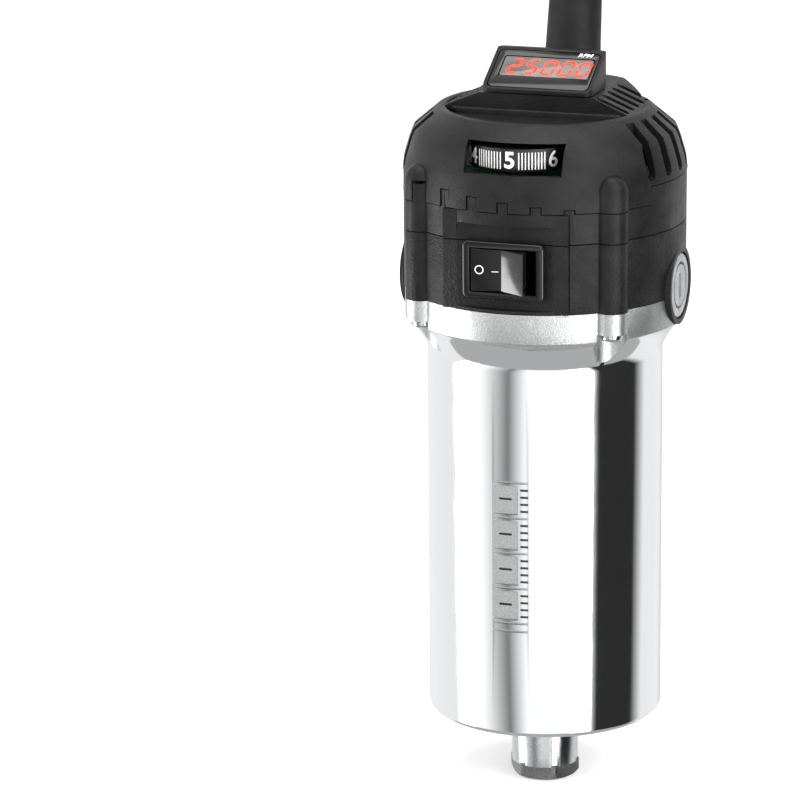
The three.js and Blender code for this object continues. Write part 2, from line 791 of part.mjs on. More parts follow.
function makeTopCover() {
  const column = turned(
    [
      [0, zTab + GAP],
      [COLUMN_R, zTab + GAP],
      [COLUMN_R, zTab + 5.6],
      [COLUMN_R - 1.2, zTab + 8.4],
      [0, zTab + 9.6],
    ],
    14,
  ).translate(0, -columnRing, 0);
  const outside = join(
    turned(coverOutside(), 40),
    roof(0, -9.8, headR, discR + 0.3),
    onBootAxis(rod(BOOT.towerR, -8, 2, 20)),
  );
  const inside = join(turned(coverInside(), 24), roof(2.2, -7.6, headR, discR - 2.4));
  const tower = onBootAxis(ring(BOOT.baseR + GAP, BOOT.towerR, -8, 2, 20));
  const shell = join(
    cut(outside, inside),
    tower,
    ...around(column, COLUMN_ANGLES),
  );
  const sideVent = box(
    -SIDE_VENTS.width / 2,
    SIDE_VENTS.width / 2,
    -(headR + 6),
    -SIDE_VENTS.inner,
    zTab + SIDE_VENTS.foot,
    zRim + 1,
  );
  const ventAngles = [];
  const roofVents = [];
  for (let i = 0; i < SIDE_VENTS.count; i++) {
    const angle = SIDE_VENTS.first + i * SIDE_VENTS.pitch;
    ventAngles.push(angle, -angle);
  }
  for (let i = 0; i < ROOF_VENTS.count; i++) {
    const y = ROOF_VENTS.first + i * ROOF_VENTS.pitch;
    const [y0, y1] = [y - ROOF_VENTS.width / 2, y + ROOF_VENTS.width / 2];
    roofVents.push(box(ROOF_VENTS.from, ROOF_VENTS.to, y0, y1, zDisc - 4, zRoof + 2));
    roofVents.push(box(-ROOF_VENTS.to, -ROOF_VENTS.from, y0, y1, zDisc - 4, zRoof + 2));
  }
  const dialWindow = box(
    -DIAL_WINDOW.left,
    DIAL_WINDOW.right,
    -(headR + 5),
    -(headR - 13),
    zDial - 0.4,
    zDial - 0.4 + DIAL_WINDOW.height,
  );
  const displayHole = box(
    -DISPLAY.halfW + DISPLAY.wall,
    DISPLAY.halfW - DISPLAY.wall,
    -DISPLAY.front + DISPLAY.wall,
    DISPLAY.back - DISPLAY.wall,
    zDisc - 4,
    zRoof + 2,
  );
  return cut(
    shell,
    belowSeam(GAP),
    ...around(sideVent, ventAngles),
    ...roofVents,
    dialWindow,
    displayHole,
    onBootAxis(rod(BOOT.baseR + GAP, -20, 8, 20)),
    ...around(columnAt(SCREW_R + GAP, zTab - 1, zTab + 6, 8), COLUMN_ANGLES),
  );
}

function makeHousingScrew() {
  const seat = zEar - GAP;
  return turned(
    [
      [0, seat - SCREW_HEAD_H],
      [SCREW_HEAD_R * 0.62, seat - SCREW_HEAD_H],
      [SCREW_HEAD_R, seat - SCREW_HEAD_H * 0.55],
      [SCREW_HEAD_R, seat],
      [SCREW_R, seat],
      [SCREW_R, zTab + 4.6],
      [0, zTab + 5.6],
    ],
    10,
  );
}

// ---------------------------------------------------------------- brush gear

// A wire helix along X between two places, its ends pulled in to the coil's own radius.
function makeBrushSpring(x0, x1) {
  const wire = 0.4;
  const coil = 2.2;
  const turns = 4;
  const steps = turns * 8;
  const points = [];
  for (let i = 0; i <= steps; i++) {
    const angle = (i / steps) * turns * 2 * Math.PI;
    const x = x0 + wire + ((x1 - x0 - 2 * wire) * i) / steps;
    points.push(new THREE.Vector3(x, coil * Math.cos(angle), coil * Math.sin(angle)));
  }
  const section = new THREE.Shape();
  section.absarc(0, 0, wire, 0, 2 * Math.PI);
  const path = new THREE.CatmullRomCurve3(points);
  return new THREE.ExtrudeGeometry(section, {
    steps,
    extrudePath: path,
    curveSegments: 2,
    bevelEnabled: false,
  });
}

function makeBrushHolder() {
  const y = BRUSH.width / 2 + GAP;
  const z = BRUSH.height / 2 + GAP;
  const wall = HOLDER_WALL;
  const x0 = COMMUTATOR_R + 1.6;
  return cut(
    box(x0, holderEnd, -y - wall, y + wall, -z - wall, z + wall),
    box(x0 - 1, holderEnd + 1, -y, y, -z, z),
  );
}

function makeCarbonBrush() {
  const x0 = COMMUTATOR_R + GAP;
  const block = box(x0, brushTail, -BRUSH.width / 2, BRUSH.width / 2, -BRUSH.height / 2, BRUSH.height / 2);
  return cut(block, rod(COMMUTATOR_R + GAP, -10, 10, 36));
}

function makeBrushCap() {
  const head = rodX(CAP_R, capSeat, capSeat + CAP_T, 0, 24);
  const shank = rodX(CAP_SHANK_R, capSeat - CAP_SHANK_L, capSeat + 0.5, 0, 20);
  const face = capSeat + CAP_T;
  const groove = ring(5.8, 6.4, face - 0.5, face + 1, 16).rotateY(Math.PI / 2);
  const slot = box(face - 1.2, face + 1, -0.7, 0.7, -3.3, 3.3);
  return cut(join(head, shank), groove, slot);
}

// Both sides are one design, the left one turned half round the spindle.
function addBrushSide(side, degrees) {
  const group = new THREE.Group();
  group.position.z = zBrush;
  group.rotation.z = radians(degrees);
  router.add(group);
  const contact = rodX(CONTACT_R, contactX, contactX + CONTACT_T, 0, 24);
  add("brush_holder_" + side, makeBrushHolder(), FINISH.brass, group);
  add("carbon_brush_" + side, makeCarbonBrush(), FINISH.carbon, group);
  add("brush_spring_" + side, makeBrushSpring(brushTail + GAP, contactX - GAP), FINISH.steel, group);
  add("brush_contact_" + side, contact, FINISH.brass, group);
  add("brush_cap_" + side, makeBrushCap(), FINISH.greyPlastic, group);
}

// ---------------------------------------------------------------- switch

function makeSwitchBody() {
  const front = -(pocketFloor + GAP + SWITCH.bezelT);
  const seat = -(pocketFloor + GAP);
  const inner = SWITCH.halfW - 1.4;
  const halfH = SWITCH.halfH;
  const bezel = prismY(
    roundedRect(-SWITCH.halfW, SWITCH.halfW, zSwitch - halfH, zSwitch + halfH, 1.2),
    front,
    seat,
    4,
  );
  const body = box(-inner, inner, seat - 0.5, seat + SWITCH.depth, zSwitch - halfH + 1.3, zSwitch + halfH - 1.7);
  const terminals = [-5, 0, 5].map((x) =>
    box(x - 0.4, x + 0.4, seat + SWITCH.depth - 1, seat + SWITCH.depth + 4.5, zSwitch - 2, zSwitch + 2),
  );
  const well = box(
    -(ROCKER.halfL + 1.4),
    ROCKER.halfL + 1.4,
    front - 1,
    seat + 5.5,
    zSwitch - ROCKER.halfH - GAP,
    zSwitch + ROCKER.halfH + GAP,
  );
  return cut(join(bezel, body, ...terminals), well);
}

// The rocker's face is a shallow V; at rest its left half is pressed level with the bezel.
function addSwitchRocker() {
  const front = pocketFloor + GAP + SWITCH.bezelT;
  const pivot = front - 4.2;
  const half = ROCKER.halfL;
  const edge = -(front + 1.9 - pivot);
  const shape = polygon([
    [0, -(front - 0.5 - pivot)],
    [-half, edge],
    [-half + 0.3, edge + 2.6],
    [-4, 2.4],
    [4, 2.4],
    [half - 0.3, edge + 2.6],
    [half, edge],
  ]);
  const mesh = add(
    "switch_rocker",
    prism(shape, -ROCKER.halfH, ROCKER.halfH),
    FINISH.glossBlack,
  );
  mesh.position.set(0, -pivot, zSwitch);
  mesh.rotation.z = -radians(ROCKER.swing);
}

// ---------------------------------------------------------------- speed dial and board

function addSpeedDial() {
  const { radius, thickness } = DIAL;
  const wheel = turned(
    [
      [0, thickness - 1.8],
      [2.8, thickness - 1.8],
      [2.8, 0],
      [radius - 0.5, 0],
      [radius, 0.5],
      [radius, thickness - 0.5],
      [radius - 0.5, thickness],
      [0, thickness],
    ],
    40,
  );
  const mesh = add("speed_dial", wheel, FINISH.glossBlack);
  mesh.position.set(0, dialY, zDial);
}

function addPotentiometer() {
  const base = zBoard + 1.6 + GAP;
  const height = zDial - GAP - base;
  const shape = turned(
    [[0, 0], [5.5, 0], [5.5, height], [2.5, height], [2.5, height + 4], [0, height + 4]],
    24,
  );
  const mesh = add("dial_potentiometer", shape, FINISH.darkSteel);
  mesh.position.set(0, dialY, base);
}

function makeControlBoard() {
  const shape = new THREE.Shape();
  const r = columnRing - COLUMN_R - 2.4;
  shape.absarc(0, 0, r, radians(160), radians(380));
  shape.closePath();
  const holes = boardPosts.map(([x, y]) => rod(1.5, zBoard - 1, zBoard + 3, 12).translate(x, y, 0));
  return cut(prism(shape, zBoard, zBoard + 1.6, 12), ...holes);
}

const boardScrew = () =>
  turned([[0, -4.5], [1.2, -4], [1.2, GAP], [2.4, GAP], [2.4, 1.6], [1.6, 2.2], [0, 2.2]], 8);

function addBoardParts() {
  const top = zBoard + 1.6;
  add("control_board", makeControlBoard(), FINISH.boardGreen);
  boardPosts.forEach(([x, y], i) => {
    const mesh = add("board_screw_" + (i + 1), boardScrew(), FINISH.steel);
    mesh.position.set(x, y, top);
  });
  const fins = [0, 1, 2].map((i) => box(-27 + 3 * i, -25.4 + 3 * i, -4, 8, top + GAP + 1.5, top + 8.5));
  const heatsink = join(box(-27, -19.4, -4, 8, top + GAP, top + GAP + 2), ...fins);
  add("triac_heatsink", heatsink, FINISH.castAluminium);
  const capacitor = prism(roundedRect(17, 25.5, -4, 8, 1), top + GAP, top + 8.2, 3);
  add("filter_capacitor", capacitor, FINISH.greyPlastic);
}

// ---------------------------------------------------------------- display

// Its group stands on the middle of the leaning face, +Z out of the face and +Y up the slope.
const faceY = (DISPLAY.back - DISPLAY.front) / 2 - 0.9;
const faceZ = zRoof + 5.6;

function onFace(geometry) {
  return geometry.clone().rotateX(radians(DISPLAY.tilt)).translate(0, faceY, faceZ);
}

function makeDisplayHousing() {
  const { halfW, front, back, corner, wall } = DISPLAY;
  const z0 = zRoof + GAP;
  const outline = (inset) =>
    roundedRect(-halfW + inset, halfW - inset, -front + inset, back - inset, corner - inset / 2);
  const above = join(
    onFace(box(-40, 40, -40, 40, 0, 40)),
    box(-40, 40, 0, 40, zRoof + DISPLAY.top, zRoof + 30),
  );
  const aboveInner = onFace(box(-40, 40, -40, 40, -wall - 0.6, 40));
  const inner = cut(prism(outline(wall), z0 - 2, z0 + 20, 4), aboveInner);
  const seat = prism(
    roundedRect(-PANEL.halfW - GAP, PANEL.halfW + GAP, -PANEL.halfH - GAP, PANEL.halfH + GAP, 1.6),
    -PANEL.thickness - GAP,
    5,
    4,
  );
  const [ox, oy] = WINDOW.offset;
  const opening = box(ox - WINDOW.halfW, ox + WINDOW.halfW, oy - WINDOW.halfH, oy + WINDOW.halfH, -6, 2);
  return cut(prism(outline(0), z0, z0 + 14, 4), above, inner, onFace(seat), onFace(opening));
}

function addDisplay() {
  add("display_housing", makeDisplayHousing(), FINISH.blackNylon);
  const face = new THREE.Group();
  face.position.set(0, faceY, faceZ);
  face.rotation.x = radians(DISPLAY.tilt);
  router.add(face);
  const [ox, oy] = WINDOW.offset;
  const area = (grow) => [
    ox - WINDOW.halfW - grow,
    ox + WINDOW.halfW + grow,
    oy - WINDOW.halfH - grow,
    oy + WINDOW.halfH + grow,
  ];
  const panel = cut(
    prism(roundedRect(-PANEL.halfW, PANEL.halfW, -PANEL.halfH, PANEL.halfH, 1.4), -PANEL.thickness, 0, 4),
    prism(roundedRect(...area(0), 0.8), -3, 3, 3),
  );
  add("display_panel", panel, FINISH.glossBlack, face);
  add(
    "display_window",
    prism(roundedRect(...area(-GAP), 0.6), -PANEL.thickness, -0.05, 3),
    FINISH.smokedWindow,
    face,
  );
  const module = join(
    box(...area(-2 * GAP), -5.6, -PANEL.thickness - GAP),
    box(ox - 12.9, ox + 12, -6.2, 4.4, -7.2, -5.5),
  );
  add("display_module", module, FINISH.greyPlastic, face);
}

// ---------------------------------------------------------------- cord

const bootStart = new THREE.Vector3(0, BOOT.y, zRim - 1.2);
const bootAxis = new THREE.Vector3(0, Math.sin(radians(BOOT.lean)), Math.cos(radians(BOOT.lean)));

function makeBoot() {
  const profile = [
    [0, -21],
    [CORD_R, -21],
    [CORD_R, -10.6],
    [BOOT.collarR, -10.6],
    [BOOT.collarR, -8.3],
    [BOOT.baseR, -8.3],
    [BOOT.baseR, 4],
    [BOOT.baseR - 0.3, 12],
    [BOOT.tipR + 0.3, BOOT.length - 3],
    [BOOT.tipR - 0.6, BOOT.length],
    [0, BOOT.length],
  ];
  return onBootAxis(turned(profile, 20));
}

// The cord's frame: X across, Y backwards from the boot's tip, turned about the vertical.
function inCordFrame(geometry) {
  const tip = BOOT.y + BOOT.length * Math.sin(radians(BOOT.lean)) + 0.05;
  return geometry.clone().rotateZ(radians(CORD_TURN)).translate(0, tip, 0);
}

// Points chosen by hand: out of the boot, over backwards, down to the surface that the nut
// stands on, and round into the far end of the hank.
const CORD_ROUTE = [
  [0, 0, 228.5],
  [0.8, 2.6, 244],
  [0.9, 8, 262],
  [0.5, 21, 279],
  [0, 43, 291],
  [0, 69, 294],
  [0, 96, 287],
  [0, 121, 269],
  [0, 141, 243],
  [0, 154, 211],
  [0, 161, 175],
  [-0.2, 164, 137],
  [-1.3, 165, 99],
  [-3.3, 165, 62],
  [-5, 164, 34],
  [-6.3, 161.3, 5],
  [-6.8, 153.5, -6.7],
  [-7, 141.8, -14.5],
  [-7, 133, -16.9],
  [-7, 128.1, -17.25],
];

function tube(points, radius, steps, sides) {
  const path = new THREE.CatmullRomCurve3(points.map(([x, y, z]) => new THREE.Vector3(x, y, z)));
  const section = new THREE.Shape();
  section.absarc(0, 0, radius, 0, 2 * Math.PI);
  return new THREE.ExtrudeGeometry(section, {
    steps,
    extrudePath: path,
    curveSegments: sides / 2,
    bevelEnabled: false,
  });
}

const hankTop = HANK.thickness - NUT_END;
const plugAxisZ = hankTop + 2 * GAP + HANK.tieT + PLUG.thickness / 2;

// The hank's own frame: to the left of the cord's plane.
function inHankFrame(geometry) {
  return inCordFrame(geometry.clone().translate(-HANK.side, 0, 0));
}

// The hank lies behind the motor, and its tail rises to the plug on top of it.
function makeHank() {
  const { start, length, width } = HANK;
  const shape = new THREE.Shape();
  shape.absarc(0, start + length - width / 2, width / 2, 0, Math.PI);
  shape.absarc(0, start + width / 2, width / 2, Math.PI, 2 * Math.PI);
  shape.closePath();
  const back = PLUG.entry;
  const tail = tube(
    [
      [0, back + GAP, plugAxisZ],
      [-0.3, back + 7, plugAxisZ - 0.4],
      [-5, back + 22, plugAxisZ - 4.4],
      [-13, back + 37, plugAxisZ - 11.4],
      [-16, back + 44, plugAxisZ - 15.6],
    ],
    CORD_R,
    10,
    8,
  );
  const [y0, y1] = HANK.tie;
  const pinch = box(-40, 40, y0 - GAP, y1 + GAP, -NUT_END - 1, -NUT_END + HANK.tieT + GAP);
  return inHankFrame(join(cut(prism(shape, -NUT_END, hankTop, 7), pinch), tail));
}

// The tie closes under the bundle, which it pinches a little.
function makeTie() {
  const half = HANK.width / 2 + GAP;
  const [y0, y1] = HANK.tie;
  const t = HANK.tieT;
  const outer = box(-half - t, half + t, y0, y1, -NUT_END, hankTop + GAP + t);
  const inner = box(-half, half, y0 - 1, y1 + 1, -NUT_END + t, hankTop + GAP);
  return inHankFrame(cut(outer, inner));
}

function makePlug() {
  const w = PLUG.width / 2;
  const t = PLUG.thickness / 2;
  const end = PLUG.entry;
  const face = end - PLUG.length;
  const z = plugAxisZ;
  const outline = polygon([
    [-w, face],
    [w, face],
    [w, face + 14],
    [7, face + 22],
    [5.5, end],
    [-5.5, end],
    [-7, face + 22],
    [-w, face + 14],
  ]);
  const section = roundedRect(-w, w, z - t, z + t, 4);
  const body = common(prism(outline, z - t - 1, z + t + 1), prismY(section, face - 1, end + 1, 4));
  const blades = [-6.35, 6.35].map((x) =>
    box(x - 0.8, x + 0.8, face - 17, face + 1, z - 3.2, z + 3.2),
  );
  return inHankFrame(join(body, ...blades));
}

function addCord() {
  add("cord_boot", makeBoot(), FINISH.rubber);
  add("cord", inCordFrame(tube(CORD_ROUTE, CORD_R, 30, 8)), FINISH.cordPvc);
  add("cord_hank", makeHank(), FINISH.cordPvc);
  add("cord_tie", makeTie(), FINISH.rubber);
  add("cord_plug", makePlug(), FINISH.cordPvc);
  const bar = cut(
    box(-11.5, 11.5, BOOT.y + 1.8, BOOT.y + 4.3, zTab + 2.2, zTab + 8.2),
    ...[-8.4, 8.4].map((x) => rod(1.5, -3, 3, 12).rotateX(Math.PI / 2).translate(x, BOOT.y + 3, zTab + 5.2)),
  );
  add("cord_clamp", bar, FINISH.blackNylon);
  [-8.4, 8.4].forEach((x, i) => {
    const screw = boardScrew().rotateX(-Math.PI / 2);
    const mesh = add("clamp_screw_" + (i + 1), screw, FINISH.steel);
    mesh.position.set(x, BOOT.y + 4.3, zTab + 5.2);
  });
}

// ---------------------------------------------------------------- assembly

add("motor_body", makeMotorBody(), FINISH.polishedAluminium);
add("front_bearing_circlip", makeCirclip(), FINISH.darkSteel);
addBearing("front_bearing", FRONT_BEARING, FRONT_BEARING.base);
addBearing("rear_bearing", REAR_BEARING, zRear);
add("rotor_shaft", makeRotorShaft(), FINISH.steel);
add("collet_nut", makeColletNut(), FINISH.steel);
add("collet", makeCollet(), FINISH.steel);
add("cooling_fan", makeFan(), FINISH.fanNylon);
add("fan_baffle", makeBaffle(), FINISH.blackNylon);
add("stator_core", makeStator(), FINISH.laminations);
add("field_coil_front", makeFieldCoil(), FINISH.copper);
add("field_coil_rear", turnedTo(makeFieldCoil(), 180), FINISH.copper);
add("rotor_core", makeRotorCore(), FINISH.laminations);
add("rotor_winding_lower", makeEndTurns(STATOR_FOOT - 6.4, STATOR_FOOT + 1 - GAP), FINISH.copper);
add("rotor_winding_upper", makeEndTurns(statorTop - 1 + GAP, statorTop + 8), FINISH.copper);
add("commutator", makeCommutator(), FINISH.copper);
add(
  "rear_bearing_sleeve",
  ring(REAR_BEARING.outer + GAP, cupR - GAP, zRear, zRear + REAR_BEARING.width, 24),
  FINISH.rubber,
);
add("tacho_magnet", ring(REAR_BEARING.bore, 6.5, zCup + 2.4, zCup + 5.2, 24), FINISH.magnet);
add("lower_housing", makeLowerHousing(), FINISH.blackNylon);
add("middle_housing", makeMiddleHousing(), FINISH.blackNylon);
add("top_cover", makeTopCover(), FINISH.blackNylon);
COLUMN_ANGLES.forEach((angle, i) => {
  const mesh = add("housing_screw_" + (i + 1), makeHousingScrew(), FINISH.steel);
  mesh.position.set(
    columnRing * Math.cos(fromFront(angle)),
    columnRing * Math.sin(fromFront(angle)),
    0,
  );
});
addBrushSide("right", 0);
addBrushSide("left", 180);
add("switch_body", makeSwitchBody(), FINISH.glossBlack);
addSwitchRocker();
addSpeedDial();
addPotentiometer();
addBoardParts();
addDisplay();
addCord();

export default router;
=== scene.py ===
import math

import bpy
from mathutils import Matrix, Vector


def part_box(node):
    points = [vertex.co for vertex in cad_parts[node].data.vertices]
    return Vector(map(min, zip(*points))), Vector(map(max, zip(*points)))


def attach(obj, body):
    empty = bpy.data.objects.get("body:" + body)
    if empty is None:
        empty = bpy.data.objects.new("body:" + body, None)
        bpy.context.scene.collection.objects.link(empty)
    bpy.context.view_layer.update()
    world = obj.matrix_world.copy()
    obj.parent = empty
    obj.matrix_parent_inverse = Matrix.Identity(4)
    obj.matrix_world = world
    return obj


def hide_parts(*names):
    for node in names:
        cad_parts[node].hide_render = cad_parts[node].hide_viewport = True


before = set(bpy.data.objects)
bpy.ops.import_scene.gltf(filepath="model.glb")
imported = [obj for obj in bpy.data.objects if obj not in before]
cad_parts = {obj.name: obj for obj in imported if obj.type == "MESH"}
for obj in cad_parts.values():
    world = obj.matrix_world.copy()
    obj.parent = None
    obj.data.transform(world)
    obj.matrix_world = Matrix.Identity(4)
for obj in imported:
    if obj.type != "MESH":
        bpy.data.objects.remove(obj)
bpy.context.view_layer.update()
bpy.ops.object.select_all(action="DESELECT")

MM = 0.001


# ---------------------------------------------------------------- camera

# The camera looks from 17 degrees to the router's right, and down on it by 15.
CAMERA_ANGLE = math.radians(17)
CAMERA_REACH = 1135 * MM
CAMERA_HEIGHT = 397 * MM
CAMERA_DROP = 0.266
CAMERA_LENS = 191
AIM_LEFT = math.radians(1.957)


def make_camera():
    out = Vector((math.sin(CAMERA_ANGLE), -math.cos(CAMERA_ANGLE), 0))
    across = Vector((math.cos(CAMERA_ANGLE), math.sin(CAMERA_ANGLE), 0))
    up = Vector((0, 0, 1))
    level = -out * math.cos(CAMERA_DROP) - up * math.sin(CAMERA_DROP)
    tilted_up = up * math.cos(CAMERA_DROP) - out * math.sin(CAMERA_DROP)
    forward = level * math.cos(AIM_LEFT) - across * math.sin(AIM_LEFT)
    right = across * math.cos(AIM_LEFT) + level * math.sin(AIM_LEFT)
    data = bpy.data.cameras.new("camera")
    data.sensor_width = 36
    data.lens = CAMERA_LENS
    data.clip_end = 20
    camera = bpy.data.objects.new("camera", data)
    bpy.context.scene.collection.objects.link(camera)
    axes = Matrix((right, tilted_up, -forward)).transposed().to_4x4()
    place = out * CAMERA_REACH + up * CAMERA_HEIGHT
    camera.matrix_world = Matrix.Translation(place) @ axes
    bpy.context.scene.camera = camera


make_camera()


# ---------------------------------------------------------------- mains cord

CORD_R = 3.75
CORD_TURN = math.radians(16.6)
BOOT_Y = 24.5
BOOT_LEAN = math.radians(10)
BOOT_L = 59
BOOT_Z = 170
CORD_EXIT_Y = BOOT_Y + BOOT_L * math.sin(BOOT_LEAN) + 0.05
FLOOR_Z = -21
LAYER = 2 * CORD_R
FOLD_R = 22.5
NEAR_FOLD = 36
FAR_FOLD = 101.5
HANK_SIDE = 7
PLUG_ENTRY = 62
PLUG_Z = 28.3

# Across, backwards from the boot's tip, and height: out of the boot, over, and down behind.
CORD_ROUTE = [
    (0, 0, 228.5), (0.8, 2.6, 244), (0.9, 8, 262), (0.5, 21, 279), (0, 43, 291),
    (0, 69, 294), (0, 96, 287), (0, 121, 269), (0, 141, 243), (0, 154, 211),
    (0, 161, 175), (-0.2, 164, 137), (-1.3, 165, 99), (-3.3, 165, 62), (-5, 164, 34),
    (-6.3, 161.3, 5), (-6.8, 153.5, -6.7), (-7, 141.8, -14.5), (-7, 133, -16.9), (-7, 128.1, -17.25),
]


def in_cord_frame(across, back, height):
    """A point of the cord's own leaning plane, in metres in the router's frame."""
    x = across * math.cos(CORD_TURN) - back * math.sin(CORD_TURN)
    y = across * math.sin(CORD_TURN) + back * math.cos(CORD_TURN)
    return Vector((x, y + CORD_EXIT_Y, height)) * MM


def fold(side, start, height):
    """Half a turn at one end of the hank: side 1 is the near end, -1 the far one."""
    steps = 8
    for i in range(steps + 1):
        angle = math.pi * i / steps
        across = -side * FOLD_R * math.cos(angle)
        yield (across, start - side * FOLD_R * math.sin(angle), height)


def hank_points():
    """The cord in the hank: in under the far fold, then lap on lap, one layer up on each."""
    base = FLOOR_Z + CORD_R
    points = [(-0.8, 114, base), (-4.6, 99, base), (-11.2, 84, base), (-17.9, 69, base)]
    points.append((-21.8, 53, base))
    for lap in range(4):
        height = base + lap * LAYER
        points += fold(1, NEAR_FOLD, height)
        points.append((FOLD_R, 52, height + 0.1 * LAYER))
        points.append((FOLD_R, 69, height + 0.5 * LAYER))
        points.append((FOLD_R, 86, height + 0.9 * LAYER))
        points += fold(-1, FAR_FOLD, height + LAYER)
        if lap < 3:
            points += [(-FOLD_R, 80, height + LAYER), (-FOLD_R, 58, height + LAYER)]
    top = PLUG_Z
    points += [(-21, 93, top - 13), (-14.5, 82, top - 8), (-6, 73, top - 2.5), (0, PLUG_ENTRY + 0.3, top)]
    return points


def make_cord():
    laps = [(across - HANK_SIDE, back, height) for across, back, height in hank_points()]
    points = CORD_ROUTE + laps
    data = bpy.data.curves.new("cord", "CURVE")
    data.dimensions = "3D"
    data.bevel_depth = CORD_R * MM
    data.bevel_resolution = 5
    data.resolution_u = 6
    data.use_fill_caps = True
    spline = data.splines.new("BEZIER")
    spline.bezier_points.add(len(points) - 1)
    for knot, point in zip(spline.bezier_points, points):
        knot.co = in_cord_frame(*point)
        knot.handle_left_type = "AUTO"
        knot.handle_right_type = "AUTO"
    cord = bpy.data.objects.new("mains_cord", data)
    bpy.context.scene.collection.objects.link(cord)
    return cord


mains_cord = make_cord()


# ---------------------------------------------------------------- modelling

def made(name):
    """The object that an operator has just made, named."""
    piece = bpy.context.object
    piece.name = name
    piece.data.name = name
    return piece


def alone(piece):
    bpy.ops.object.select_all(action="DESELECT")
    piece.select_set(True)
    bpy.context.view_layer.objects.active = piece


def drawn(name, points):
    """A chain of edges: one point, extruded from each place in the list to the next."""
    bpy.ops.object.select_all(action="DESELECT")
    bpy.ops.mesh.primitive_plane_add(size=MM)
    piece = made(name)
    bpy.ops.object.mode_set(mode="EDIT")
    bpy.ops.mesh.select_all(action="SELECT")
    bpy.ops.mesh.merge(type="CENTER")
    bpy.ops.transform.translate(value=Vector(points[0]) * MM)
    for before, after in zip(points, points[1:]):
        step = (Vector(after) - Vector(before)) * MM
        bpy.ops.mesh.extrude_region_move(TRANSFORM_OT_translate={"value": step})
    bpy.ops.mesh.select_all(action="SELECT")
    return piece


def close_up():
    """Ends a piece's edit: doubles merged, faces turned outwards."""
    bpy.ops.mesh.select_all(action="SELECT")
    bpy.ops.mesh.remove_doubles(threshold=1e-6)
    bpy.ops.mesh.normals_make_consistent(inside=False)
    bpy.ops.object.mode_set(mode="OBJECT")


def turned(name, profile, segments=96):
    """A body of revolution about Z, from (radius, height) points in millimetres."""
    piece = drawn(name, [(r, 0, z) for r, z in profile])
    bpy.ops.mesh.spin(steps=segments, angle=2 * math.pi, center=(0, 0, 0), axis=(0, 0, 1))
    close_up()
    return piece


def rod(name, r, z0, z1, segments=48):
    return turned(name, [(0, z0), (r, z0), (r, z1), (0, z1)], segments)


def ring(name, r0, r1, z0, z1, segments=128):
    return turned(name, [(r0, z0), (r1, z0), (r1, z1), (r0, z1), (r0, z0)], segments)


def prism(name, outline, z0, z1):
    """A flat outline of (x, y) points, drawn out from z0 to z1."""
    piece = drawn(name, [(x, y, z0) for x, y in outline])
    bpy.ops.mesh.edge_face_add()
    bpy.ops.mesh.extrude_region_move(TRANSFORM_OT_translate={"value": (0, 0, (z1 - z0) * MM)})
    close_up()
    return piece


def block(name, x0, x1, y0, y1, z0, z1):
    centre = Vector(((x0 + x1) / 2, (y0 + y1) / 2, (z0 + z1) / 2)) * MM
    size = Vector((x1 - x0, y1 - y0, z1 - z0)) * MM
    bpy.ops.object.select_all(action="DESELECT")
    bpy.ops.mesh.primitive_cube_add(size=1, location=centre, scale=size)
    piece = made(name)
    bpy.ops.object.transform_apply(location=True, rotation=True, scale=True)
    return piece


def moved(piece, turn=(0, 0, 0), shift=(0, 0, 0)):
    """The piece turned by degrees about the three axes, then shifted by millimetres."""
    alone(piece)
    piece.rotation_euler = [math.radians(angle) for angle in turn]
    piece.location = Vector(shift) * MM
    bpy.ops.object.transform_apply(location=True, rotation=True, scale=True)
    return piece


def along_x(piece, shift=(0, 0, 0)):
    return moved(piece, (0, 90, 0), shift)


def facing_front(piece):
    """A prism drawn in X and height, its thickness laid along Y."""
    return moved(piece, (90, 0, 0))


def copied(piece, turn=(0, 0, 0), shift=(0, 0, 0)):
    twin = piece.copy()
    twin.data = piece.data.copy()
    bpy.context.scene.collection.objects.link(twin)
    return moved(twin, turn, shift)


def around(piece, angles):
    """Copies of a piece that lies along -Y, one at each angle from the front."""
    twins = [copied(piece, (0, 0, angle)) for angle in angles]
    bpy.data.objects.remove(piece)
    return twins


def combined(piece, operation, tools):
    for tool in tools:
        alone(piece)
        step = piece.modifiers.new(operation, "BOOLEAN")
        step.operation = operation
        step.object = tool
        step.solver = "MANIFOLD"
        bpy.ops.object.modifier_apply(modifier=step.name)
        bpy.data.objects.remove(tool)
    piece.data.materials.clear()
    return piece


def join(piece, *tools):
    return combined(piece, "UNION", tools)


def cut(piece, *tools):
    return combined(piece, "DIFFERENCE", tools)


def common(piece, *tools):
    return combined(piece, "INTERSECT", tools)


def together(name, pieces):
    """Separate shells in one object."""
    alone(pieces[0])
    for piece in pieces[1:]:
        piece.select_set(True)
    if len(pieces) > 1:
        bpy.ops.object.join()
    return made(name)


def softened(piece, width, segments=2, angle=28):
    """Edges sharper than the angle rounded, as a mould or a tool leaves them."""
    alone(piece)
    bevel = piece.modifiers.new("edges", "BEVEL")
    bevel.width = width * MM
    bevel.segments = segments
    bevel.limit_method = "ANGLE"
    bevel.angle_limit = math.radians(angle)
    bpy.ops.object.modifier_apply(modifier=bevel.name)
    return piece


def shaded(piece, angle=32):
    alone(piece)
    bpy.ops.object.shade_smooth_by_angle(angle=math.radians(angle))
    return piece


def arc(x, y, r, start, end, steps):
    """Points on part of a circle, angles in degrees."""
    angles = [math.radians(start + (end - start) * i / steps) for i in range(steps + 1)]
    return [(x + r * math.cos(a), y + r * math.sin(a)) for a in angles]


def rounded(x0, x1, y0, y1, r, steps=8):
    return [
        *arc(x1 - r, y0 + r, r, -90, 0, steps),
        *arc(x1 - r, y1 - r, r, 0, 90, steps),
        *arc(x0 + r, y1 - r, r, 90, 180, steps),
        *arc(x0 + r, y0 + r, r, 180, 270, steps),
    ]


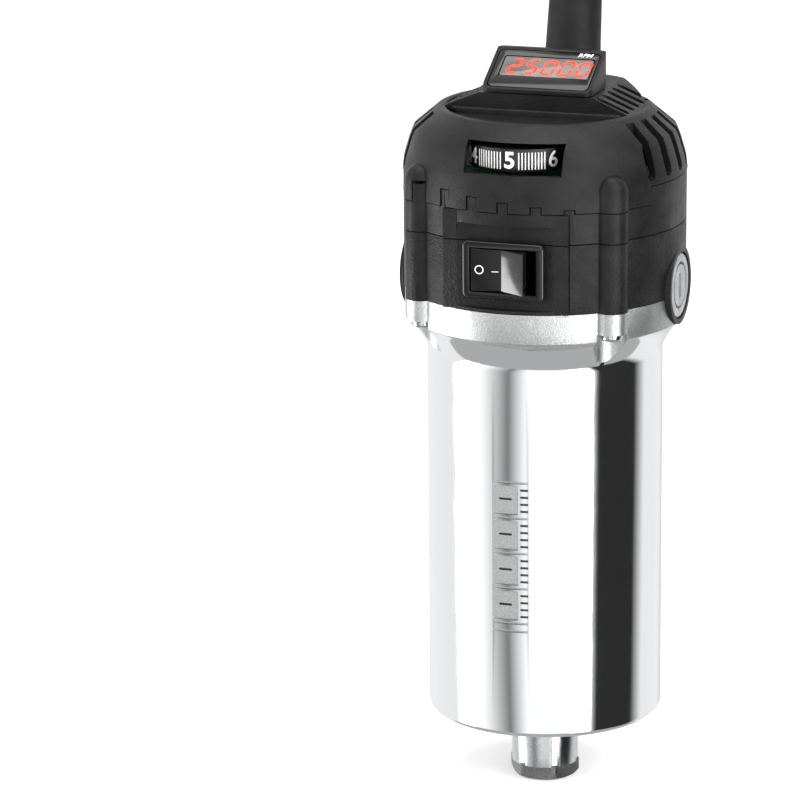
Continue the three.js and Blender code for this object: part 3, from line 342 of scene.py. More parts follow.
def sector(r0, r1, start, end, steps=16):
    """Part of a ring, its angles counted from the front."""
    return [
        *arc(0, 0, r1, start - 90, end - 90, steps),
        *arc(0, 0, r0, end - 90, start - 90, steps),
    ]


# ---------------------------------------------------------------- material tools

def linear(code):
    """An sRGB hex colour as the linear values that a shader takes."""
    shares = [int(code[i : i + 2], 16) / 255 for i in (1, 3, 5)]
    return (*[c / 12.92 if c <= 0.04045 else ((c + 0.055) / 1.055) ** 2.4 for c in shares], 1)


def add_node(tree, kind, settings=None, links=None):
    node = tree.nodes.new(kind)
    for name, value in (settings or {}).items():
        if name in node.inputs:
            node.inputs[name].default_value = value
        else:
            setattr(node, name, value)
    for name, socket in (links or {}).items():
        tree.links.new(socket, node.inputs[name])
    return node


def surface(name, colour, roughness, metallic=0, **sockets):
    """A new material, its node tree, its shader and its Object coordinates."""
    material = bpy.data.materials.new(name)
    material.use_nodes = True
    tree = material.node_tree
    shader = tree.nodes["Principled BSDF"]
    shader.inputs["Base Color"].default_value = linear(colour)
    shader.inputs["Roughness"].default_value = roughness
    shader.inputs["Metallic"].default_value = metallic
    for socket, value in sockets.items():
        shader.inputs[socket.replace("_", " ")].default_value = value
    coords = add_node(tree, "ShaderNodeTexCoord").outputs["Object"]
    return material, tree, shader, coords


def speckle(tree, coords, size, detail=2, stretch=(1, 1, 1)):
    """Noise whose grains are size millimetres across."""
    place = add_node(tree, "ShaderNodeMapping", {"Scale": stretch}, {"Vector": coords})
    settings = {"Scale": 1000 / size, "Detail": detail, "Roughness": 0.55}
    noise = add_node(tree, "ShaderNodeTexNoise", settings, {"Vector": place.outputs["Vector"]})
    return noise.outputs["Fac"]


def relief(tree, shader, height, depth, strength=1):
    """Bump of a real depth in millimetres."""
    settings = {"Distance": depth * MM, "Strength": strength}
    bump = add_node(tree, "ShaderNodeBump", settings, {"Height": height})
    tree.links.new(bump.outputs["Normal"], shader.inputs["Normal"])


def tinted(tree, shader, factor, dark, light, low=0.35, high=0.65):
    """Base colour between two hex colours, by a pattern."""
    ramp = add_node(tree, "ShaderNodeValToRGB", {}, {"Fac": factor})
    ends = ramp.color_ramp.elements
    ends[0].position, ends[1].position = low, high
    ends[0].color, ends[1].color = linear(dark), linear(light)
    tree.links.new(ramp.outputs["Color"], shader.inputs["Base Color"])


def worn(tree, shader, factor, smooth, rough):
    """Roughness between two values, by a pattern."""
    settings = {"From Min": 0.3, "From Max": 0.7, "To Min": smooth, "To Max": rough}
    spread = add_node(tree, "ShaderNodeMapRange", settings, {"Value": factor})
    tree.links.new(spread.outputs["Result"], shader.inputs["Roughness"])


# ---------------------------------------------------------------- materials

def polished_aluminium():
    # Extruded aluminium turned and buffed: a mirror with the faintest rings round it.
    material, tree, shader, coords = surface("polished_aluminium", "#e4e5e6", 0.08, 1)
    rings = speckle(tree, coords, 40, 3, (1, 1, 60))
    relief(tree, shader, rings, 0.004)
    worn(tree, shader, speckle(tree, coords, 12), 0.06, 0.11)
    return material


def blasted_aluminium(name, colour, grain):
    # Cast and bead-blasted: even grey with a fine sparkle. The real grit is about 0.1 mm,
    # drawn larger so that it shows.
    material, tree, shader, coords = surface(name, colour, 0.42, 1)
    pits = speckle(tree, coords, grain, 3)
    relief(tree, shader, pits, 0.12, 0.8)
    tinted(tree, shader, pits, "#a9abac", colour, 0.3, 0.62)
    return material


def textured_abs(name, dark, light, grain, depth):
    # Moulded black ABS with a spark-eroded texture, which breaks up its highlights.
    material, tree, shader, coords = surface(name, light, 0.4, IOR=1.5, Specular_IOR_Level=0.22)
    pits = speckle(tree, coords, grain, 3)
    relief(tree, shader, pits, depth, 0.8)
    tinted(tree, shader, speckle(tree, coords, 9), dark, light)
    worn(tree, shader, speckle(tree, coords, 6), 0.36, 0.46)
    return material


def gloss_plastic(name, colour, roughness):
    # Moulded from a polished tool: sharp reflections with a very slight waviness.
    material, tree, shader, coords = surface(name, colour, roughness, IOR=1.55)
    relief(tree, shader, speckle(tree, coords, 7), 0.01, 0.5)
    worn(tree, shader, speckle(tree, coords, 3), roughness * 0.8, roughness * 1.3)
    return material


def satin_plastic(name, dark, light, roughness=0.42):
    # Plain moulded nylon: satin, with a little mottling. Made dark, it also serves as painted shade in the
    # depth scale.
    material, tree, shader, coords = surface(name, light, roughness, IOR=1.53)
    relief(tree, shader, speckle(tree, coords, 0.6), 0.03, 0.6)
    tinted(tree, shader, speckle(tree, coords, 4), dark, light)
    return material


def printed(name, colour):
    # Pad-printed ink: flat colour, a touch rougher than what it is on.
    material, tree, shader, coords = surface(name, colour, 0.45)
    relief(tree, shader, speckle(tree, coords, 0.3), 0.01, 0.4)
    return material


def lit_segment():
    # LED segments behind the window: red light, brighter and darker in small patches along each bar.
    material, tree, shader, coords = surface("lit_segment", "#e02a14", 0.3)
    glow = speckle(tree, coords, 1.6)
    tinted(tree, shader, glow, "#c81c0c", "#ff4a20")
    shader.inputs["Emission Color"].default_value = linear("#ff2a10")
    shader.inputs["Emission Strength"].default_value = 1.1
    return material


def smoked_acrylic():
    # Tinted acrylic over a pale display: warm grey, glossy, a little uneven from behind.
    material, tree, shader, coords = surface("smoked_acrylic", "#67635f", 0.16, IOR=1.49)
    tinted(tree, shader, speckle(tree, coords, 5), "#5a5653", "#76716d")
    relief(tree, shader, speckle(tree, coords, 2), 0.01, 0.4)
    return material


def ground_metal(name, dark, light, roughness, grain=0.4, stretch=(1, 1, 1)):
    # Turned or ground: fine marks that spread the highlight one way.
    material, tree, shader, coords = surface(name, light, roughness, 1)
    marks = speckle(tree, coords, grain, 3, stretch)
    relief(tree, shader, marks, 0.02, 0.6)
    tinted(tree, shader, marks, dark, light)
    return material


def stacked_laminations():
    # Half-millimetre silicon-steel sheets, seen as lines round the stack.
    material, tree, shader, coords = surface("stacked_laminations", "#6a6d71", 0.5, 0.85)
    settings = {"bands_direction": "Z", "Scale": 1000 / 0.5 / 20, "Distortion": 0.2}
    wave = add_node(tree, "ShaderNodeTexWave", settings, {"Vector": coords})
    relief(tree, shader, wave.outputs["Fac"], 0.1, 0.6)
    tinted(tree, shader, wave.outputs["Fac"], "#4b4e52", "#7b7e82")
    return material


def enamelled_wire():
    # Copper wire 0.6 mm thick under clear enamel, laid side by side.
    material, tree, shader, coords = surface("enamelled_wire", "#b2633a", 0.28, 0.9)
    settings = {"bands_direction": "DIAGONAL", "Scale": 1000 / 0.6 / 20, "Distortion": 0.6}
    wave = add_node(tree, "ShaderNodeTexWave", settings, {"Vector": coords})
    relief(tree, shader, wave.outputs["Fac"], 0.2, 0.8)
    tinted(tree, shader, wave.outputs["Fac"], "#7d3c1e", "#c87a4c")
    return material


def rubber(name, dark, light):
    # Moulded soft PVC or rubber: dull, with a broad weak highlight.
    material, tree, shader, coords = surface(name, light, 0.5, IOR=1.5, Specular_IOR_Level=0.25)
    relief(tree, shader, speckle(tree, coords, 0.8, 3), 0.04, 0.6)
    tinted(tree, shader, speckle(tree, coords, 8), dark, light)
    worn(tree, shader, speckle(tree, coords, 5), 0.52, 0.64)
    return material


def pressed_carbon():
    # Carbon and graphite pressed together: dull dark grey with a fine glitter.
    material, tree, shader, coords = surface("pressed_carbon", "#3b3b3e", 0.62, 0.2)
    flecks = speckle(tree, coords, 0.5, 4)
    relief(tree, shader, flecks, 0.04, 0.6)
    tinted(tree, shader, flecks, "#2c2c2e", "#505055")
    return material


def solder_mask():
    # Green lacquer over glass-fibre board: the weave shows faintly through it.
    material, tree, shader, coords = surface("solder_mask", "#1d5a38", 0.35, IOR=1.55)
    weave = speckle(tree, coords, 0.9, 2, (1, 3, 1))
    relief(tree, shader, weave, 0.02, 0.5)
    tinted(tree, shader, weave, "#174a2e", "#257048")
    return material


BARREL = polished_aluminium()
BLASTED = blasted_aluminium("bead_blasted_aluminium", "#c9caca", 0.4)
CAST = blasted_aluminium("cast_aluminium", "#bfc1c2", 0.8)
# Dark satin laid in the depth scale's grooves and round its sunk panels: painted shade.
SCALE_PAINTED_SHADE = satin_plastic("scale_painted_shade", "#26272a", "#34363a", 0.5)
LOWER_ABS = textured_abs("coarse_textured_abs", "#111112", "#1b1b1c", 0.62, 0.3)
UPPER_ABS = textured_abs("fine_textured_abs", "#121213", "#1c1c1d", 0.5, 0.14)
SWITCH_PC = gloss_plastic("black_polycarbonate", "#0e0e0f", 0.1)
PANEL_PC = gloss_plastic("black_acrylic", "#101011", 0.2)
DIAL_PC = gloss_plastic("black_acetal", "#0f0f10", 0.28)
WINDOW_PMMA = smoked_acrylic()
CAP_NYLON = satin_plastic("grey_nylon", "#77787a", "#8c8d8e", 0.4)
FAN_NYLON = satin_plastic("glass_filled_nylon", "#2d2e31", "#3c3d41", 0.55)
WHITE_INK = printed("white_ink", "#ececea")
SEGMENT = lit_segment()
STEEL = ground_metal("ground_steel", "#8e9092", "#b8babc", 0.3)
CHROME = ground_metal("bright_zinc_steel", "#a8aaac", "#d2d4d6", 0.16)
NUT_STEEL = ground_metal("turned_nickel_steel", "#a4a6a8", "#d0d2d3", 0.2, 0.5, (1, 1, 9))
# Darker, rougher steel: the milled hex flats of the collet nut, and painted shade on its faces that look
# downwards.
HEX_STEEL_AND_PAINTED_SHADE = ground_metal("milled_steel_and_painted_shade", "#6c6d6e", "#8c8d8e", 0.42)
DARK_STEEL = ground_metal("black_oxide_steel", "#4a4c4f", "#66696c", 0.4)
LAMINATIONS = stacked_laminations()
WIRE = enamelled_wire()
COPPER = ground_metal("commutator_copper", "#a25c35", "#c47a4c", 0.3)
BRASS = ground_metal("drawn_brass", "#b08c46", "#cda85f", 0.32)
CARBON = pressed_carbon()
RUBBER = rubber("boot_rubber", "#0f0f10", "#171718")
CORD_PVC = rubber("cord_pvc", "#151516", "#202021")
BOARD = solder_mask()
FERRITE = ground_metal("sintered_ferrite", "#46484b", "#5e6063", 0.5)


def fitted(piece, material, slot, body, *nodes):
    """Gives a finished piece its material and its body, and hides the CAD nodes that it stands for."""
    if not piece.data.materials:
        piece.data.materials.append(material)
    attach(piece, body)
    if nodes:
        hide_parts(*nodes)
    return piece


def dress(material, *names):
    """A carried-over CAD node's own surface."""
    for name in names:
        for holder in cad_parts[name].material_slots:
            holder.material = material


dress(LAMINATIONS, "rotor_core", "stator_core")
dress(WIRE, "field_coil_front", "field_coil_rear", "rotor_winding_lower", "rotor_winding_upper")
dress(COPPER, "commutator")
dress(STEEL, "board_screw_1", "board_screw_2", "brush_spring_left", "brush_spring_right")
dress(STEEL, "clamp_screw_1", "clamp_screw_2", "front_bearing_inner_race", "rotor_shaft")
dress(STEEL, "front_bearing_outer_race", "rear_bearing_inner_race", "rear_bearing_outer_race")
dress(DARK_STEEL, "dial_potentiometer", "front_bearing_ball_cage", "front_bearing_circlip")
dress(DARK_STEEL, "rear_bearing_ball_cage")
dress(BRASS, "brush_contact_left", "brush_contact_right", "brush_holder_left", "brush_holder_right")
dress(CARBON, "carbon_brush_left", "carbon_brush_right")
dress(BOARD, "control_board")
dress(FAN_NYLON, "cooling_fan", "fan_baffle")
dress(UPPER_ABS, "cord_clamp")
dress(CAP_NYLON, "filter_capacitor", "display_module")
dress(FERRITE, "tacho_magnet")
dress(CAST, "triac_heatsink")
dress(RUBBER, "rear_bearing_sleeve")


# ---------------------------------------------------------------- motor body

BODY_R = 32.5
BODY_BORE = 29.5
Z_CONE = 104.4
Z_FLANGE = 113.3
Z_DECK = 121.4
Z_EAR = 115.6
Z_BRUSH = 123.2
HEAD_R = 38.7
HEAD_BORE = 36.1
COLUMN_R = 4.4
COLUMN_RING = 37.8
COLUMN_AT = COLUMN_RING * math.sqrt(0.5)
BOSS_R = 10.7
GAP = 0.3
CORNERS = [45, 135, 225, 315]
QUARTERS = [0, 90, 180, 270]


def at_column(piece):
    return moved(piece, shift=(0, -COLUMN_RING, 0))


def rod_x(name, r, x0, x1, z, segments=64):
    return along_x(rod(name, r, x0, x1, segments), (0, 0, z))


def scale_tools():
    """Cutters for the depth scale: long lines, short ticks and the sunk panels beside them."""
    def groove(x0, x1, z, deep=0.4):
        outline = rounded(x0, x1, z - 0.32, z + 0.32, 0.31, 4)
        return moved(prism("groove", outline, 0, 3), (90, 0, 0), (0, -(BODY_R - deep), 0))

    tools = [groove(-5.4, 6.2, 30.7)]
    for i in range(5):
        z = 33 + 10 * i
        tools.append(groove(-5.4, 6.2, z))
        if i == 4:
            break
        tools += [groove(2.8, 6.2, z + 2 * k) for k in range(1, 5)]
        panel = prism("panel", rounded(-5, 2.3, z + 0.9, z + 9.1, 0.3, 3), 0, 3)
        tools.append(moved(panel, (90, 0, 0), (0, -(BODY_R - 0.45), 0)))
        tools.append(groove(-3.3, 0.4, z + 5.2, 0.85))
    return tools


def make_motor_body():
    profile = [
        (31.1, 0), (31.75, 0.2), (32.25, 0.7), (BODY_R, 1.5), (BODY_R, Z_CONE - 0.6),
        (BODY_R + 0.15, Z_CONE + 0.4), (33.2, 106.2), (34.6, 108.6), (36.2, 110.9), (37.6, 112.6),
        (38.3, Z_FLANGE - 0.15), (38.5, Z_FLANGE + 0.2), (38.5, Z_DECK), (BODY_BORE, Z_DECK),
        (BODY_BORE, 4), (19, 4), (19, 14.3), (13.4, 14.3), (13.4, 12.3), (16.3, 12.3),
        (16.3, 2.7), (17.2, 2.7), (17.2, 1.1), (16.3, 1.1), (16.3, 0), (31.1, 0),
    ]
    body = turned("motor_body_shell", profile, 192)
    reliefs = around(at_column(rod("relief", 4.6, Z_CONE - 2, Z_EAR)), CORNERS)
    ears = around(at_column(rod("ear", COLUMN_R, Z_EAR, Z_DECK)), CORNERS)
    holes = around(at_column(rod("hole", 2.2, Z_EAR - 1, Z_DECK + 1, 24)), CORNERS)
    feet = around(block("foot", -3, 3, -30, -27.4, 3.5, 37.7), QUARTERS)
    ribs = around(block("rib", -2, 2, -30, -28.6, 37.2, 96), QUARTERS)
    windows = around(prism("window", sector(21.5, 26.6, -21, 21), -1, 5), range(0, 360, 60))
    notches = around(moved(rod_x("notch", 11, 22.7, 44, Z_BRUSH), (0, 0, -90)), [90, 270])
    cut(body, *reliefs)
    join(body, *ears, *feet, *ribs)
    cut(body, *holes, *windows, *notches)
    softened(body, 0.25, 2, 35)
    cut(body, *scale_tools())
    paint_motor_body(body)
    return shaded(body, 30)


def paint_motor_body(body):
    """Buffed barrel, blasted flange and panels, and painted shade in the scale's grooves and round its
    sunk panels.
    """
    for material in (BARREL, BLASTED, SCALE_PAINTED_SHADE):
        body.data.materials.append(material)
    for face in body.data.polygons:
        x, y, z = face.center / MM
        radius = math.hypot(x, y)
        corner = min(math.hypot(abs(x) - COLUMN_AT, abs(y) - COLUMN_AT), 9)
        if z > Z_FLANGE - 0.2 or (z > Z_CONE - 3 and corner < 4.75):
            face.material_index = 1
        # Sunk faces of the scale: wide floors facing the front are blasted, and every other sunk face is
        # painted dark as shade.
        elif -6 < x < 7 and y < 0 and 30 < z < 74 and radius < BODY_R - 0.12 and radius > 31:
            wide = abs(face.normal.y) > 0.9 and face.area > 6e-6
            face.material_index = 1 if wide else 2


fitted(make_motor_body(), BARREL, "polished_aluminium", "housing", "motor_body")


# ---------------------------------------------------------------- spindle end

def make_collet_nut():
    corner = 17 / math.sqrt(3)
    nut = moved(rod("collet_nut_turned", corner, -21, -16.4, 6), (0, 0, 4))
    crown = [(0, -21), (8.1, -21), (8.9, -20.6), (corner, -19.6), (corner, -16.4), (0, -16.4)]
    common(nut, turned("crown", crown))
    barrel = [(0, -17), (9.3, -17), (9.3, -5.6), (9.1, -5.3), (0, -5.3)]
    join(nut, turned("nut_barrel", barrel, 96))
    inside = [
        (0, -22), (4.9, -22), (4.9, -20.4), (6.05, -18.6), (6.05, -16), (7.2, -16), (7.2, -4), (0, -4),
    ]
    cut(nut, turned("nut_inside", inside, 64))
    softened(nut, 0.18, 2, 25)
    nut.data.materials.append(NUT_STEEL)
    nut.data.materials.append(HEX_STEEL_AND_PAINTED_SHADE)
    # Hex flats get the milled steel; every face below the hex's top that looks downwards gets the same
    # darker steel as painted shade.
    for face in nut.data.polygons:
        flat = abs(face.normal.z) < 0.2 and face.area > 8e-6
        if face.center.z < -16.6 * MM and (flat or face.normal.z < -0.5):
            face.material_index = 1
    return shaded(nut)


def make_collet():
    profile = [
        (3.175, -20), (4, -20), (5.35, -18.6), (5.35, -17.6), (4.75, -17.6), (4.75, -16.4),
        (5.65, -16.4), (3.74, -2.8), (3.5, -2), (3.175, -2), (3.175, -20),
    ]
    collet = turned("collet_ground", profile, 64)
    front = around(block("slit", -0.3, 0.3, -8, -1, -21, -5), QUARTERS)
    back = around(block("slit", -0.3, 0.3, -8, -1, -15.5, -1), CORNERS)
    return shaded(cut(collet, *front, *back))


fitted(make_collet_nut(), NUT_STEEL, "steel", "collet_nut", "collet_nut")
fitted(make_collet(), STEEL, "steel", "collet", "collet")


# ---------------------------------------------------------------- housings

Z_SPLIT = 140.4
Z_TAB = 148.8
Z_SIDE_SEAM = 153.8
Z_RIM = 171.2
Z_DISC = 169.6
Z_ROOF = 175.2
Z_SWITCH = 133.2
Z_DIAL = 159.3
Z_CUP = 143
CUP_R = 12.5
POCKET_FLOOR = 36.2
CAP_SEAT = 35.9
BOSS_FACE = 38.6


def pocket_tool():
    outline = rounded(-15.5, 15.5, 122.4, 145.5, 3.5)
    return moved(facing_front(prism("pocket", outline, 0, 12)), shift=(0, -POCKET_FLOOR, 0))


def column(name, r, z0, z1, segments=48):
    return around(at_column(rod(name, r, z0, z1, segments)), CORNERS)


def make_lower_housing():
    z0 = Z_DECK + GAP
    shell = ring("lower_shell", HEAD_BORE, HEAD_R, z0, Z_SPLIT, 160)
    deck = ring("deck", CUP_R + 1, HEAD_BORE + 1, 133.5, 136)
    cut(deck, *around(prism("deck_window", sector(16.5, 33, -30, 30), 132, 138), QUARTERS))
    cup = turned("cup", [
        (CUP_R, 133.5), (CUP_R + 2.5, 133.5), (CUP_R + 2.5, Z_CUP + 2), (5, Z_CUP + 2),
        (5, Z_CUP), (CUP_R, Z_CUP), (CUP_R, 133.5),
    ])
    plate = block("pocket_plate", -17.5, 17.5, -POCKET_FLOOR, -33.8, z0, Z_SPLIT)
    bosses = [rod_x("boss", BOSS_R, 24.7, BOSS_FACE, Z_BRUSH)]
    bosses.append(copied(bosses[0], (0, 0, 180)))
    join(shell, deck, cup, plate, *column("screw_column", COLUMN_R, z0, Z_SPLIT), *bosses)
    tools = [
        rod_x("cap_hole", 9.2, CAP_SEAT - GAP, 44, Z_BRUSH),
        rod_x("shank_hole", 7.3, 29.9, HEAD_R, Z_BRUSH),
        block("holder_hole", 15, 36.7, -5.2, 5.2, 118.7, 127.7),
    ]
    tools += [copied(tool, (0, 0, 180)) for tool in tools]
    hole = block("switch_hole", -10.3, 10.3, -44, -31.2, Z_SWITCH - 6.8, Z_SPLIT + 1)
    cut(shell, pocket_tool(), hole, *column("bore", 2.2, z0 - 1, Z_SPLIT + 1, 24), *tools)
    return shaded(softened(shell, 0.3), 30)


def below_seam(offset):
    """Everything under the seam between the middle shell and the cover, raised by an offset."""
    base = Z_SPLIT - 1
    lump = rod("below", HEAD_R + 6, base, Z_TAB + offset, 96)
    for side in (0, 180):
        for i in range(-3, 3):
            angle = 13.3 * i
            top = Z_TAB + 2.9 - 0.068 * angle + offset
            half = 1.3 + offset
            tab = block("tab", -half, half, -44.7, -32, base, top)
            join(lump, moved(tab, (0, 0, angle + side)))
    widen = math.degrees(offset / HEAD_R)
    flank = prism("flank", sector(32, 44.7, 64 - widen, 116 + widen), base, Z_SIDE_SEAM + offset)
    return join(lump, copied(flank, (0, 0, 180)), flank)


def make_middle_housing():
    z0 = Z_SPLIT + GAP
    shell = ring("middle_shell", HEAD_BORE, HEAD_R, z0, Z_SIDE_SEAM + 3, 160)
    plate = block("pocket_plate", -17.5, 17.5, -POCKET_FLOOR, -33.8, z0, Z_TAB)
    join(shell, plate, *column("screw_column", COLUMN_R, z0, Z_SIDE_SEAM))
    common(shell, below_seam(0))
    tray = ring("tray", 15.3, HEAD_BORE + 1, 143.8, 145.8)
    cut(tray, prism("tray_window", sector(18.3, 32.1, -24, 24), 142, 148))
    posts = [moved(rod("post", 2.6, 144.8, 151.3, 32), shift=(x, -12, 0)) for x in (-22, 22)]
    web = block("web", -11.5, 11.5, 15.4, 16.8, 144.8, 157)
    cheeks = [block("cheek", x, x + 6.2, 16.5, 26, 144.8, 157) for x in (5.3, -11.5)]
    join(shell, tray, *posts, web, *cheeks)
    bores = [moved(rod("bore", 1.5, 146.6, 152.6, 24), shift=(x, -12, 0)) for x in (-22, 22)]
    clamps = [moved(rod("bore", 1.5, 0, 8, 24), (90, 0, 0), (x, 27, 154)) for x in (-8.4, 8.4)]
    cut(shell, pocket_tool(), *column("bore", 2.2, z0 - 1, Z_SIDE_SEAM + 3, 24), *bores, *clamps)
    return shaded(softened(shell, 0.25), 30)


def on_boot_axis(piece):
    return moved(piece, (-math.degrees(BOOT_LEAN), 0, 0), (0, BOOT_Y, BOOT_Z))


def roof(inset, y0, y1, radius):
    """The roof under the display: flat in the middle and sloping down to the rim each side."""
    flat = 16 - inset / 2
    low = Z_RIM - 0.6 - inset
    top = Z_ROOF - inset
    outline = [(-27, 166.6), (27, 166.6), (27, low), (flat, top), (-flat, top), (-27, low)]
    slab = moved(prism("roof", outline, 0, y1 - y0), (90, 0, 0), (0, y1, 0))
    return common(slab, rod("roof_edge", radius, 165.6, 176.2, 96))


def make_top_cover():
    outside = turned("cover_outside", [
        (0, Z_TAB + GAP), (39.1, Z_TAB + GAP), (38.95, 153.5), (38.5, 157.3), (38.3, 158.2),
        (36.9, 162.9), (35.9, 165.4), (29.4, 170.9), (28.7, 171.2), (27.5, 171.2),
        (27.1, 171), (27, Z_DISC), (0, Z_DISC),
    ], 192)
    tower = on_boot_axis(rod("tower", 9.8, -8, 2, 64))
    bar = [(-24.2, -8.9), (-22, -10.6), (22, -10.6), (24.2, -8.9), (22, -8.4), (-22, -8.4)]
    ridge = prism("ridge", bar, 168, 171.3)
    join(outside, roof(0, -8.6, HEAD_R, 27.3), tower, softened(ridge, 0.6, 3))
    inside = turned("cover_inside", [
        (0, Z_TAB - 1), (36.5, Z_TAB - 1), (36.3, 157.2), (33.9, 164.2), (29.5, 167.4), (0, 167.4),
    ], 96)
    join(inside, roof(2.2, -6.6, HEAD_R, 24.6))
    cover = cut(outside, inside)
    sleeve = on_boot_axis(ring("sleeve", 8.3, 9.8, -8, 2, 64))
    post = turned("post", [
        (0, 149.1), (COLUMN_R, 149.1), (COLUMN_R, 154.6), (4, 156.2), (3, 157.6), (1.5, 158.4),
        (0, 158.6),
    ], 48)
    join(cover, sleeve, *around(at_column(post), CORNERS))
    vents = []
    for i in range(5):
        vent = prism("vent", rounded(-1.6, 1.6, 0, 17, 1.4, 5), 0, 15)
        vent = moved(vent, (90, 0, 0), (0, -30.5, 155.5))
        vents.append(copied(vent, (0, 0, 64.5 + 11.7 * i)))
        vents.append(moved(vent, (0, 0, -(64.5 + 11.7 * i))))
        y = -6.6 + 5 * i
        for x in (-25.6, 16.6):
            slot = rounded(x, x + 9, y - 1.3, y + 1.3, 1.2, 5)
            vents.append(prism("roof_vent", slot, 165.6, 177.2))
    window = block("dial_window", -11.6, 15.2, -43.7, -25.7, 158.9, 167.1)
    side = [(-16.2, -39.5), (-11.5, -36.2), (-11.5, -43), (-16.2, -43)]
    bevelled = prism("window_side", side, 158.9, 167.1)
    seat = block("display_hole", -13.8, 13.8, -7.3, 6.6, 165.6, 177.2)
    bore = on_boot_axis(rod("boot_hole", 8.3, -20, 8, 64))
    cut(cover, below_seam(GAP), *vents, window, bevelled, seat, bore)
    cut(cover, *column("bore", 2.2, Z_TAB - 1, Z_TAB + 6, 24))
    return shaded(softened(cover, 0.3), 30)


def make_housing_screws():
    profile = [
        (0, 113.2), (1.8, 113.25), (2.7, 113.7), (3.1, 114.4), (3.1, 115.3), (1.9, 115.3),
        (1.9, 153.4), (0, 154.4),
    ]
    screw = turned("pan_head_screw", profile, 40)
    recess = block("recess", -1.5, 1.5, -0.28, 0.28, 113, 114.3)
    cut(screw, recess, block("recess", -0.28, 0.28, -1.5, 1.5, 113, 114.3))
    return around(at_column(screw), CORNERS)


fitted(make_lower_housing(), LOWER_ABS, "black_nylon", "housing", "lower_housing")
fitted(make_middle_housing(), UPPER_ABS, "black_nylon", "housing", "middle_housing")
fitted(make_top_cover(), UPPER_ABS, "black_nylon", "housing", "top_cover")
SCREW_NODES = {}
for number in range(1, 5):
    low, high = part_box(f"housing_screw_{number}")
    SCREW_NODES[(low.x > 0, low.y > 0)] = f"housing_screw_{number}"
for screw in make_housing_screws():
    corner = sum((Vector(point) for point in screw.bound_box), Vector()) / 8
    node = SCREW_NODES[(corner.x > 0, corner.y > 0)]
    fitted(shaded(screw), CHROME, "steel", "housing", node)


# ---------------------------------------------------------------- brush caps

def make_brush_cap(side, turn):
    face = CAP_SEAT + 2.5
    cap = along_x(turned("cap_" + side, [
        (0, CAP_SEAT - 4.6), (7, CAP_SEAT - 4.6), (7, CAP_SEAT), (8.9, CAP_SEAT), (8.9, face - 0.4),
        (8.5, face), (0, face),
    ], 96), (0, 0, Z_BRUSH))
    groove = along_x(ring("groove", 5.75, 6.5, face - 1.3, face + 1, 96), (0, 0, Z_BRUSH))
    slot = block("slot", face - 2.2, face + 1, -0.75, 0.75, Z_BRUSH - 3.4, Z_BRUSH + 3.4)
    softened(cut(cap, groove, slot), 0.12, 2, 40)
    return moved(shaded(cap), (0, 0, turn))


fitted(make_brush_cap("right", 0), CAP_NYLON, "grey_plastic", "cap_right", "brush_cap_right")
fitted(make_brush_cap("left", 180), CAP_NYLON, "grey_plastic", "cap_left", "brush_cap_left")


# ---------------------------------------------------------------- switch

def lettered(name, text, height, thickness, slant=0.0, bold=0.0):
    """Characters as a solid that stands on Z = 0, centred, height millimetres tall."""
    bpy.ops.object.select_all(action="DESELECT")
    bpy.ops.object.text_add()
    piece = bpy.context.object
    piece.data.body = text
    piece.data.size = height / 0.7 * MM
    piece.data.extrude = thickness / 2 * MM
    piece.data.offset = bold * MM
    piece.data.shear = slant
    piece.data.align_x = "CENTER"
    piece.data.align_y = "CENTER"
    alone(piece)
    bpy.ops.object.convert(target="MESH")
    piece = made(name)
    bpy.ops.object.mode_set(mode="EDIT")
    close_up()
    return piece


def make_switch_body():
    front = POCKET_FLOOR + GAP + 2.2
    seat = POCKET_FLOOR + GAP
    outline = rounded(-11.4, 11.4, Z_SWITCH - 7.8, Z_SWITCH + 7.8, 1.4)
    bezel = moved(facing_front(prism("switch_bezel", outline, 0, 2.2)), shift=(0, -seat, 0))
    softened(bezel, 0.7, 4, 40)
    join(bezel, block("switch_box", -10, 10, -seat - 0.5, -seat + 12.5, Z_SWITCH - 6.5, Z_SWITCH + 6.1))
    blades = [block("blade", x - 0.4, x + 0.4, -25, -19.5, Z_SWITCH - 2, Z_SWITCH + 2) for x in (-5, 0, 5)]
    join(bezel, *blades)
    well = block("well", -9.3, 9.3, -front - 1, -seat + 5.5, Z_SWITCH - 6.1, Z_SWITCH + 6.1)
    return shaded(softened(cut(bezel, well), 0.15, 2, 50))


PIVOT = POCKET_FLOOR + GAP + 2.2 - 4.2


def on_rocker(piece, side):
    """Lays flat marks on one half of the rocker's shallow V."""
    lean = -side * math.degrees(math.atan2(2.4, 7.9))
    return moved(piece, (90, 0, lean))


def at_rocker(piece):
    return moved(piece, (0, 0, -11), (0, -PIVOT, Z_SWITCH))


def make_rocker():
    edge = -6.1
    outline = [
        (0, -3.7), (-7.9, edge), (-7.6, edge + 2.6), (-4, 2.4), (4, 2.4), (7.6, edge + 2.6),
        (7.9, edge),
    ]
    rocker = prism("rocker", outline, -5.8, 5.8)
    softened(rocker, 0.35, 3, 20)
    return shaded(at_rocker(rocker), 40)


def make_switch_marks():
    circle = ring("mark_off", 0.95, 1.2, 0, 0.08, 48)
    dash = prism("mark_on", rounded(-0.95, 0.95, -0.1, 0.1, 0.09, 3), 0, 0.08)
    marks = []
    for piece, x, z in ((circle, -5.6, 0.1), (dash, -1.4, -0.3)):
        depth = -(3.7 + 2.4 / 7.9 * abs(x))
        laid = moved(on_rocker(piece, -1), shift=(x, depth + 0.02, z))
        marks.append(at_rocker(laid))
    return shaded(together("switch_marks", marks))


fitted(make_switch_body(), SWITCH_PC, "gloss_black", "housing", "switch_body")
fitted(make_rocker(), SWITCH_PC, "gloss_black", "switch_rocker", "switch_rocker")
fitted(make_switch_marks(), WHITE_INK, "gloss_black", "switch_rocker")


# ---------------------------------------------------------------- speed dial

